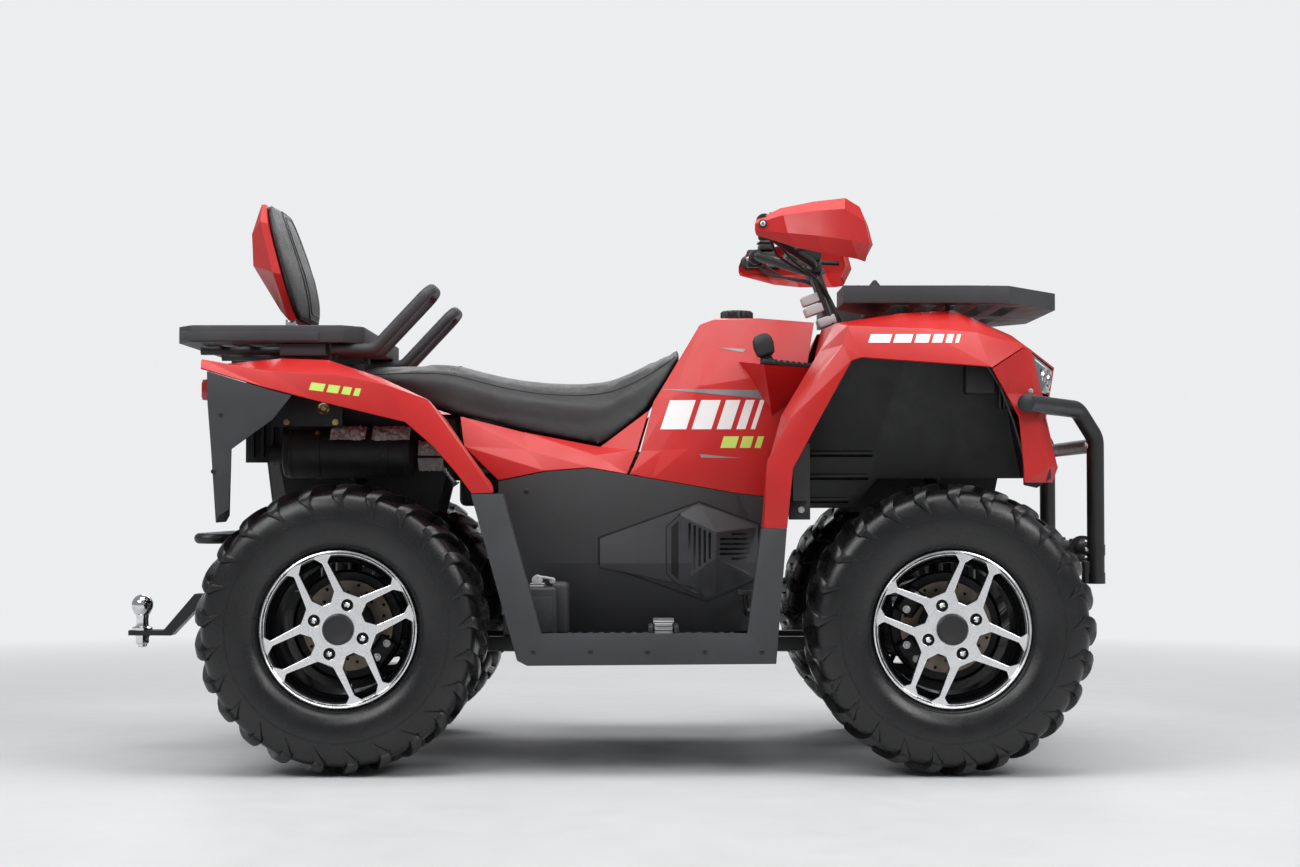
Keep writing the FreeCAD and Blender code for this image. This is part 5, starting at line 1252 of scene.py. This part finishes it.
def arch_fittings():
    """Brackets, posts and bolts that show inside the wheel arches."""
    b = Build()
    post = ((402, 448), (438, 448), (444, 470), (408, 474))
    b.skin([[mm(x, y, z) for x, y in post] for z in (578, 640, 700)])
    b.block((400, 446, 538), (446, 452, 582), 2)
    b.block((778, 402, 806), (846, 440, 872), 8, 3)
    for k in range(3):
        b.block((852 + k * 9, 398, 776), (857 + k * 9, 432, 826), 1.5)
    b.skin([[mm(x, y, z) for x, z in LEG_BRACKET] for y in (404, 424)])
    b.mirror()
    for side in (-1, 1):
        b.skin([[mm(x, y * side, z) for x, z in ARCH_WALL] for y in (176, 180)])
        for shield in INNER_SHIELDS:
            b.skin([[mm(x, y * side, z) for x, z in shield] for y in (126, 129)])
        for k in range(4):
            b.block((-792 + k * 22, side * 180, 676), (-784 + k * 22, side * 196, 820), 2)
        b.block((-730, side * 262, 742), (-575, side * 268, 806), 3)
        b.paint = 1
        for x in (-700, -592):
            b.bolt(mm(x, side * 268, 752), (0, side, 0), 5, 5)
        b.ring(mm(-618, side * 268, 784), (0, side, 0), [(0, 8), (0, 14), (3, 14), (5, 11), (4, 8)], 32)
        b.bolt(mm(-618, side * 268, 784), (0, side, 0), 5, 6)
        b.paint = 2
        b.bolt(mm(427, side * 452, 559), (0, side, 0), 5, 5)
        b.bolt(mm(916, side * 452, 812), (0, side, 0.2), 4, 4)
        b.paint = 0
    b.piece("arch_brackets", "chassis", "dark_plastic", [BLACK_PLASTIC, BRASS, STEEL], crease=30)


def under_seat_box():
    """The battery and air box under the seat, which closes the view through the panel gaps."""
    b = Build()
    for low, high, bevel, segments in (
        ((-330, -118, 566), (150, 118, 690), 14, 3), ((-300, -122, 600), (-40, 122, 640), 5, 2),
        ((150, -86, 580), (430, 86, 720), 20, 3), ((-560, -112, 700), (-330, 112, 776), 12, 3),
    ):
        b.block(low, high, bevel, segments)
    b.paint = 1
    for x in (-280, -170, -60, 60):
        for y in (-108, 108):
            b.bolt(mm(x, y, 690), UP, 4, 4)
    b.piece("under_seat_box", "chassis", "dark_plastic", [BLACK_PLASTIC, STEEL])


FRONT_DECK, REAR_DECK = 1045, 959
DECK_SCREWS = (
    (FRONT_DECK, ((560, 350), (840, 350), (560, 236), (980, 40))),
    (REAR_DECK, ((-545, 300), (-905, 300), (-905, 40), (-545, 40))),
)


def rack_fittings():
    """Tie-down fins, trims, deck screws and the rails below the racks."""
    b = Build()
    fin = [(582, 0), (618, 0), (603, 19), (597, 19)]
    b.skin([[mm(x, y, FRONT_DECK + z) for x, z in fin] for y in (295, 305)])
    trim = [(-912, 925), (-912, 945), (-612, 945), (-612, 925)]
    b.skin([[mm(x, y, z) for x, z in trim] for y in (378, 382.5)])
    b.block((-700, 328, 893), (-600, 362, 921), 2.5)
    b.tube([mm(-884, 296, 908), mm(-704, 296, 908)], 9, 16)
    b.tube([mm(-884, 60, 910), mm(-560, 60, 910)], 9, 16)
    b.round_edges(1.0, 2, 40)
    b.paint = 1
    for z, places in DECK_SCREWS:
        for x, y in places:
            b.screw(mm(x, y, z), UP, 6, 3.5)
    b.mirror().piece("rack_fittings", "chassis", "dark_plastic", [DARK, STEEL], crease=30)


def headlamp_lenses():
    """Two projector lenses in rims and two light strips in each headlamp."""
    inner_high, inner_low = mm(1001, 252.5, 867), mm(992, 252.5, 812)
    outer_high, outer_low = mm(924, 416, 896), mm(951, 391, 812)

    def face(u, v):
        """A place on the lamp's face, from its inner low corner."""
        return (inner_low * (1 - u) + outer_low * u) * (1 - v) + (inner_high * (1 - u) + outer_high * u) * v

    out = (outer_low - inner_low).cross(inner_high - inner_low)
    out = out.normalized() * (1 if out.x > 0 else -1)
    b = Build()
    for u, radius in ((0.24, 21), (0.60, 20)):
        at = face(u, 0.46) - out * MM
        b.paint = 0
        b.ring(at, out, [(0, radius), (0, radius + 5), (5, radius + 3), (2, radius)], 40)
        b.paint = 1
        bulge = (math.radians(a) for a in range(0, 90, 10))
        b.turned(at, out, [(1 + 7 * math.sin(a), radius * math.cos(a)) for a in bulge], 40)
    b.paint = 2
    for low, high, far in ((0.84, 0.90, 0.90), (0.10, 0.15, 0.86)):
        corners = ((0.06, low), (far, low), (far, high), (0.06, high))
        front = [face(u, v) + out * 1.6 * MM for u, v in corners]
        b.skin([[p - out * 2.4 * MM for p in front], front])
    b.mirror()
    b.piece("headlamp_lenses", "chassis", "lamp_clear", [CHROME, LAMP_GLASS, WHITE_PAINT], crease=30)


def tail_lamp_ribs():
    """Upright ribs on the tail lamps, which stand a little askew."""
    tail = Build()
    for k in range(7):
        u = (k + 0.5) / 7
        x, y = -836.2 + 5.4 * u, 330 + 140 * u
        tail.block((x - 17, y - 6, 797), (x - 12, y + 6, 831), 2)
    tail.mirror().piece("tail_lamp_ribs", "chassis", "lamp_red", [LAMP_RED])


GRILLE_LOW, GRILLE_HIGH = 716, 806
GRILLE_COLUMNS = 20


def front_grille():
    """Black louvres on a near black sheet of painted shade between the headlamps, laid on the front face."""
    front = tree_of(NODES["front_fascia"].data)

    def row(z, lift, inset=0):
        """Points across the front face at a height, so many millimetres ahead of it."""
        half = 128 + 62 * (z - GRILLE_LOW) / (GRILLE_HIGH - GRILLE_LOW) - inset
        starts = [mm(1500, half * (2 * k / GRILLE_COLUMNS - 1), z) for k in range(GRILLE_COLUMNS + 1)]
        return [front.ray_cast(start, Vector((-1, 0, 0)))[0] + mm(lift, 0, 0) for start in starts]

    b = Build()
    # Painted shade: the near black sheet behind the louvres stands in for the shade in the grille's gaps
    b.skin([row(z, 2.5) + row(z, -3)[::-1] for z in range(GRILLE_LOW, GRILLE_HIGH + 1, 10)])
    b.paint = 1
    for z in range(GRILLE_LOW + 9, GRILLE_HIGH - 2, 13):
        b.tube(row(z, 5, 8), 3.6, 8)
    b.piece("front_grille", "chassis", "dark_plastic", [SHADOW_BLACK, DARK], crease=30)


def front_bar_fittings():
    """Tube plugs, foot brackets and tow eyes of the front bar."""
    b = Build()
    end, along_bar = mm(*HOOP[0]), mm(*HOOP[0]) - mm(*HOOP[1])
    plug = [(0, 19.6), (6, 20.2), (9, 19), (10.5, 14)]
    b.turned(end - along_bar.normalized() * 8 * MM, along_bar, plug, 32)
    for z in (470, 408):
        b.turned(mm(HOOP_X, 290, z - 12), UP, [(0, 20.4), (24, 20.4)], 32)
    b.block((1058, 268, 396), (1084, 300, 446), 3)
    b.block((1062, 106, 432), (1096, 124, 492), 3)
    b.ring(mm(1078, 180, 470), ALONG_Y, [(-6, 22), (-6, 30), (6, 30), (6, 22)], 32)
    b.paint = 1
    for z in (470, 700):
        b.bolt(mm(HOOP_X - 18, 290, z), (-1, 0, 0), 6, 6)
    b.bolt(mm(1080, 124, 440), ALONG_Y, 6, 6)
    b.mirror().piece("front_bar_fittings", "chassis", "frame_black", [FRAME, STEEL])


# The left half of each ring of the backrest's shell, from the top down
SHELL_BACK = [(-789, 120, 1232), (-800, 152, 1184), (-797, 150, 1112), (-744, 92, 1014)]
SHELL_RIDGE = [(-777, 158, 1251), (-772, 203, 1206), (-744, 204, 1092), (-716, 150, 988)]
SHELL_RIM = [(-769, 150, 1252), (-757, 197, 1203), (-726, 198, 1088), (-700, 144, 990)]


def backrest_shell():
    """A faceted shell: a small flat back, a raised ridge all round, and the rim that holds the pad."""
    rings = []
    for line in (SHELL_BACK, SHELL_RIDGE, SHELL_RIM):
        left = [mm(*p) for p in line]
        rings.append(left + [Vector((p.x, -p.y, p.z)) for p in reversed(left)])
    b = Build().skin(rings)
    b.round_edges(1.6, 2, 8)
    b.piece("backrest_back", "chassis", "red_plastic", [RED], ("backrest_shell",), 25)


PANEL_SCREWS = (
    ("side_panels", ((372, 560), (-170, 600), (-190, 320), (330, 310)), 0),
    ("tail_panels", ((-815, 640), (-800, 760)), 0),
    ("footwell_skirts", ((-140, 262), (340, 262), (100, 262), (-20, 262), (220, 262)), 0),
    ("front_fender_legs", ((930, 800),), 1),
)


def panel_screws():
    """Screws and push pins on the panels, found on their surfaces."""
    b = Build()
    for node, places, paint_index in PANEL_SCREWS:
        b.paint = paint_index
        tree = tree_of(NODES[node].data)
        for x, z in places:
            for side in (-1, 1):
                b.screw(*on_side(tree, x, z, side), 5.5, 2.6)
    b.piece("panel_screws", "chassis", "dark_plastic", [BLACK_PLASTIC, STEEL])


wheels()
for node, material, bevel in DRESSED:
    dress(node, material, bevel)
for make in (
    tubes, grips, controls, column_fittings, cables, guards, guard_screws, instrument_face, gate_ledge,
    selector, filler_cap, shocks, axle_shafts, hub_fittings, exhaust, heat_foil, hitch, pegs,
    footboard_tread, brake_pedal, arch_fittings, under_seat_box, rack_fittings, headlamp_lenses,
    tail_lamp_ribs, front_grille, front_bar_fittings, backrest_shell, paint, panel_screws,
):
    make()


# Soft parts
PRESSURE = 4.0
CLOTH_FRAMES = 20


def reading(table, at):
    """A value read from a table of places and values, with straight lines between."""
    for (a, u), (b, v) in zip(table, table[1:]):
        if at <= b:
            return u + (v - u) * max(0.0, at - a) / (b - a)
    return table[-1][1]


def pressed(piece, cap, held):
    """Blows a piece up as cloth that is held where it is sewn, and caps how far each point moves."""
    scene = bpy.context.scene
    base = piece.data
    start = [v.co.copy() for v in base.vertices]
    group = piece.vertex_groups.new(name="held")
    for v in base.vertices:
        group.add([v.index], held(v.co), "REPLACE")
    cloth = piece.modifiers.new("cloth", "CLOTH")
    cloth.settings.use_pressure = True
    cloth.settings.uniform_pressure_force = PRESSURE
    cloth.settings.vertex_group_mass = "held"
    cloth.settings.effector_weights.gravity = 0
    cloth.point_cache.frame_start = 1
    cloth.point_cache.frame_end = CLOTH_FRAMES
    for step in range(1, CLOTH_FRAMES + 1):
        scene.frame_set(step)
    blown = piece.evaluated_get(bpy.context.evaluated_depsgraph_get()).data
    for v, at, found in zip(base.vertices, start, blown.vertices):
        move = found.co - at
        v.co = at + move * min(1.0, cap(at) / max(move.length, 1e-9))
    piece.modifiers.clear()
    scene.frame_set(1)


def swollen(b, name, voxel, cap, held, node):
    """A padded form: remeshed, pressed out as cloth, then smoothed and subdivided once."""
    mesh = bpy.data.meshes.new(name)
    bmesh.ops.recalc_face_normals(b.bm, faces=b.bm.faces)
    b.bm.to_mesh(mesh)
    b.bm.free()
    piece = object_of(name, mesh, "chassis", [VINYL], (node,))
    even = piece.modifiers.new("even", "REMESH")
    even.mode = "VOXEL"
    even.voxel_size = voxel * MM
    piece.modifiers.new("soft", "SMOOTH").iterations = 5
    base = bpy.data.meshes.new_from_object(piece.evaluated_get(bpy.context.evaluated_depsgraph_get()))
    piece.modifiers.clear()
    piece.data = base
    pressed(piece, cap, held)
    bm = bmesh.new()
    bm.from_mesh(base)
    for _ in range(3):
        bmesh.ops.smooth_vert(bm, verts=bm.verts, factor=0.5, use_axis_x=True, use_axis_y=True,
                              use_axis_z=True)
    bm.to_mesh(base)
    bm.free()
    for p in base.polygons:
        p.use_smooth = True
    base.materials.clear()
    base.materials.append(VINYL)
    subdivide = piece.modifiers.new("smooth", "SUBSURF")
    subdivide.levels = subdivide.render_levels = 1
    return tree_of(base)


def sewn(name, tree, lines, radius, out):
    """Sewn piping that follows the finished cover."""
    b = Build()
    for line in lines:
        places = [tree.find_nearest(p)[:2] for p in line]
        b.tube([at + normal * out * MM for at, normal in places], radius, 8)
    b.piece(name, "chassis", "seat_vinyl", [PIPING])


# Along the seat: x, its low and high z, and half its width low, midway and on top
SEAT_STATIONS = (
    (-572, 846, 866, 132, 144, 112), (-560, 843, 870, 138, 148, 118), (-520, 830, 873, 146, 158, 128),
    (-480, 818, 874, 154, 168, 138), (-440, 806, 874.5, 162, 173, 141), (-400, 794, 874.5, 168, 177, 142),
    (-360, 781, 873, 174, 180, 142), (-335, 773, 870, 180, 180, 141), (-302, 764.5, 861, 180, 180, 138),
    (-250, 752.5, 848, 176, 178, 134), (-215, 743, 841, 173, 175, 130), (-180, 734.5, 836, 171, 172, 127),
    (-145, 727, 832, 170, 171, 125), (-110, 721, 830, 170, 170, 123), (-80, 715, 829, 169.5, 169, 121),
    (-52, 710.3, 829, 169, 168, 119), (-7, 701.5, 833, 168, 164, 113), (18, 717, 838, 166, 161, 111),
    (40, 735.5, 846, 164, 158, 109), (66, 755, 857, 162, 155, 107), (92, 776, 870, 158, 151, 105),
    (116, 810, 884, 146, 139, 103), (140, 846, 900, 134, 127, 101), (160, 878, 914, 122, 117, 99),
    (172, 897, 919, 116, 112, 97),
)
SEAT_CROWN = 14
SEAT_ENDS = (-556, 160)
SEAT_LOW = [(station[0] * MM, station[1] * MM) for station in SEAT_STATIONS]


def seat_section(x, low, high, low_half, mid_half, top_half):
    """A seat section: flat below, full at the sides and crowned on top."""
    rise = high - low
    half = [(0, low), (low_half * 0.6, low), (low_half, low + 4), (low_half * 0.99 + 1, low + 14),
            (mid_half, low + rise * 0.5), (mid_half * 0.985, low + rise * 0.74), (top_half + 24, high - 14),
            (top_half + 10, high - 4), (top_half * 0.6, high + SEAT_CROWN * 0.6), (0, high + SEAT_CROWN)]
    return [mm(x, y, z) for y, z in half + [(-y, z) for y, z in half[-2:0:-1]]]


def seat_cap(p):
    """How far a point of the seat may move: more on top than at the sides."""
    return (8 if p.z > reading(SEAT_LOW, p.x) + 90 * MM else 3.5) * MM


def seat_held(p):
    """The seat is held along its low edge and at both ends."""
    low_edge = p.z < reading(SEAT_LOW, p.x) + 12 * MM
    return 1.0 if low_edge or not SEAT_ENDS[0] * MM <= p.x <= SEAT_ENDS[1] * MM else 0.0


def seat():
    """The long cushion, with piping along its edges and across the step."""
    form = Build().skin([seat_section(*station) for station in SEAT_STATIONS])
    tree = swollen(form, "seat_cushion", 7, seat_cap, seat_held, "seat")
    seams = [[mm(x, side * (top_half + 16), high - 4) for x, _, high, _, _, top_half in SEAT_STATIONS[1:-1]]
             for side in (-1, 1)]
    seams.append([mm(-335, 180 - 10 * k, 890) for k in range(2, 35)])
    sewn("seat_seams", tree, seams, 1.5, 0.3)


# The backrest pad in side view, each line as (z, x): its back, its seam and its front
PAD_BACK = ((989, -699), (1254, -770))
PAD_SEAM = ((1007, -680), (1046, -685), (1095, -696), (1151, -716.5), (1215, -736), (1254, -750))
PAD_FRONT = ((1007, -679), (1046, -681), (1095, -690), (1151, -711), (1215, -733), (1254, -750))
PAD_CENTRE = 1124
PAD_HALF = [(150, 993), (195, 1060), (197, 1184), (149, 1254)]
PAD_OUTLINE = PAD_HALF + [(-y, z) for y, z in reversed(PAD_HALF)]
# Rings from the back to the front: the share of the outline's width and height, and the depth
PAD_LAYERS = (
    (0.02, 0.02, -1), (0.5, 0.5, -1), (0.95, 0.95, -1), (0.985, 0.985, -0.97), (1.0, 1.0, -0.72),
    (0.97, 0.998, -0.5), (0.88, 0.992, -0.34), (0.75, 0.985, -0.2), (0.6, 0.975, -0.08), (0.47, 0.96, 0),
    (0.40, 0.92, 0.35), (0.32, 0.84, 0.75), (0.2, 0.6, 1), (0.1, 0.3, 1), (0.02, 0.02, 1),
)
PAD_PIPING = ((0.99, 1.0, -0.62), (0.47, 0.96, 0), (0.36, 0.86, 0.6))


def pad_ring(across, up, depth):
    """A ring round the backrest pad, from its back at depth -1, by the seam at 0, to its front at 1."""
    ring = []
    for y, z in softened(PAD_OUTLINE, 40, 6):
        z_here = PAD_CENTRE + (z - PAD_CENTRE) * up
        seam = reading(PAD_SEAM, z_here)
        other = reading(PAD_BACK if depth < 0 else PAD_FRONT, z_here)
        ring.append(mm(seam + (other - seam) * abs(depth), y * across, z_here))
    return ring


def backrest():
    """The backrest's cushion, with piping round its back, its seam and its front."""
    form = Build().skin([pad_ring(*layer) for layer in PAD_LAYERS])
    tree = swollen(
        form, "backrest_cushion", 5, lambda p: 4 * MM,
        lambda p: 1.0 if p.x < (reading(PAD_BACK, p.z / MM) + 12) * MM else 0.0, "backrest_pad",
    )
    seams = [pad_ring(*layer) for layer in PAD_PIPING]
    sewn("backrest_seams", tree, [ring + ring[:1] for ring in seams], 1.7, 0.4)


seat()
backrest()

# Floor, backdrop, lights and camera
BACKDROP = (0.84, 0.85, 0.86, 1)
SOFT_LIGHT = (0.80, 0.82, 0.85, 1)
SOFT_STRENGTH = 0.38
FLOOR_HALF = 40.0
FLOOR_FADE = (2.0, 4.6)


def stage():
    """A pale floor that keeps the shadow and fades into the backdrop's own brightness."""
    mesh = bpy.data.meshes.new("floor")
    corners = [(x * FLOOR_HALF, y * FLOOR_HALF, 0) for x, y in ((-1, -1), (1, -1), (1, 1), (-1, 1))]
    mesh.from_pydata(corners, [], [(0, 1, 2, 3)])
    floor = bpy.data.objects.new("floor", mesh)
    bpy.context.scene.collection.objects.link(floor)
    g = Graph("floor_pale")
    colour = g.blend(g.spread(g.noise(1.6, 4.0), 0.0, 1.0), (0.58, 0.585, 0.59), (0.62, 0.625, 0.63))
    g.finish(Base_Color=colour, Roughness=g.spread(g.noise(12.0), 0.5, 0.65))
    away = g.add("ShaderNodeVectorMath", {0: g.place}, operation="LENGTH").outputs["Value"]
    fade = g.spread(away, 0.0, 1.0, *FLOOR_FADE)
    share = g.add("ShaderNodeMath", {0: fade, 1: g.seen()}, operation="MULTIPLY").outputs[0]
    glow = g.add("ShaderNodeEmission", {"Color": BACKDROP}).outputs[0]
    mix = g.add("ShaderNodeMixShader", {0: share, 1: g.shader.outputs[0], 2: glow}).outputs[0]
    g.feed(g.tree.nodes["Material Output"].inputs["Surface"], mix)
    mesh.materials.append(g.material)


def lamp(name, at, aim, size, power, size_y):
    """A rectangular lamp at a place, aimed at another."""
    light = bpy.data.lights.new(name, "AREA")
    light.shape = "RECTANGLE"
    light.size = size
    light.size_y = size_y
    light.energy = power
    obj = bpy.data.objects.new(name, light)
    obj.location = at
    obj.rotation_euler = (Vector(aim) - Vector(at)).to_track_quat("-Z", "Y").to_euler()
    bpy.context.scene.collection.objects.link(obj)


def world():
    """Soft light all round. The camera sees the backdrop's own brightness instead."""
    made = bpy.data.worlds.new("studio")
    bpy.context.scene.world = made
    made.use_nodes = True
    nodes, links = made.node_tree.nodes, made.node_tree.links
    soft = nodes["Background"]
    soft.inputs["Color"].default_value = SOFT_LIGHT
    soft.inputs["Strength"].default_value = SOFT_STRENGTH
    shown = nodes.new("ShaderNodeBackground")
    shown.inputs["Color"].default_value = BACKDROP
    paths = nodes.new("ShaderNodeLightPath")
    mix = nodes.new("ShaderNodeMixShader")
    links.new(paths.outputs["Is Camera Ray"], mix.inputs[0])
    links.new(soft.outputs[0], mix.inputs[1])
    links.new(shown.outputs[0], mix.inputs[2])
    links.new(mix.outputs[0], nodes["World Output"].inputs["Surface"])


stage()
world()
lamp("overhead", (0.2, -0.6, 3.6), (0.1, 0, 0.4), 4.5, 122, 2.2)
lamp("key_left", (-2.6, -2.6, 2.9), (-0.3, 0, 0.5), 2.2, 62, 1.2)
lamp("key_right", (2.9, -2.4, 2.8), (0.5, 0, 0.5), 2.2, 62, 1.2)
lamp("back", (0, 3.2, 2.6), (0, 0, 0.7), 4.0, 50, 1.0)

CAMERA_AT = (0.105, -5.095, 0.58)
FOCAL_MM = 60.4
PITCH_UP = 1.745
camera = bpy.data.objects.new("camera", bpy.data.cameras.new("camera"))
bpy.context.scene.collection.objects.link(camera)
camera.location = CAMERA_AT
camera.rotation_euler = (math.radians(90 + PITCH_UP), 0, 0)
camera.data.lens = FOCAL_MM
camera.data.sensor_width = 36
bpy.context.scene.camera = camera
bpy.context.scene.view_settings.view_transform = "Standard"
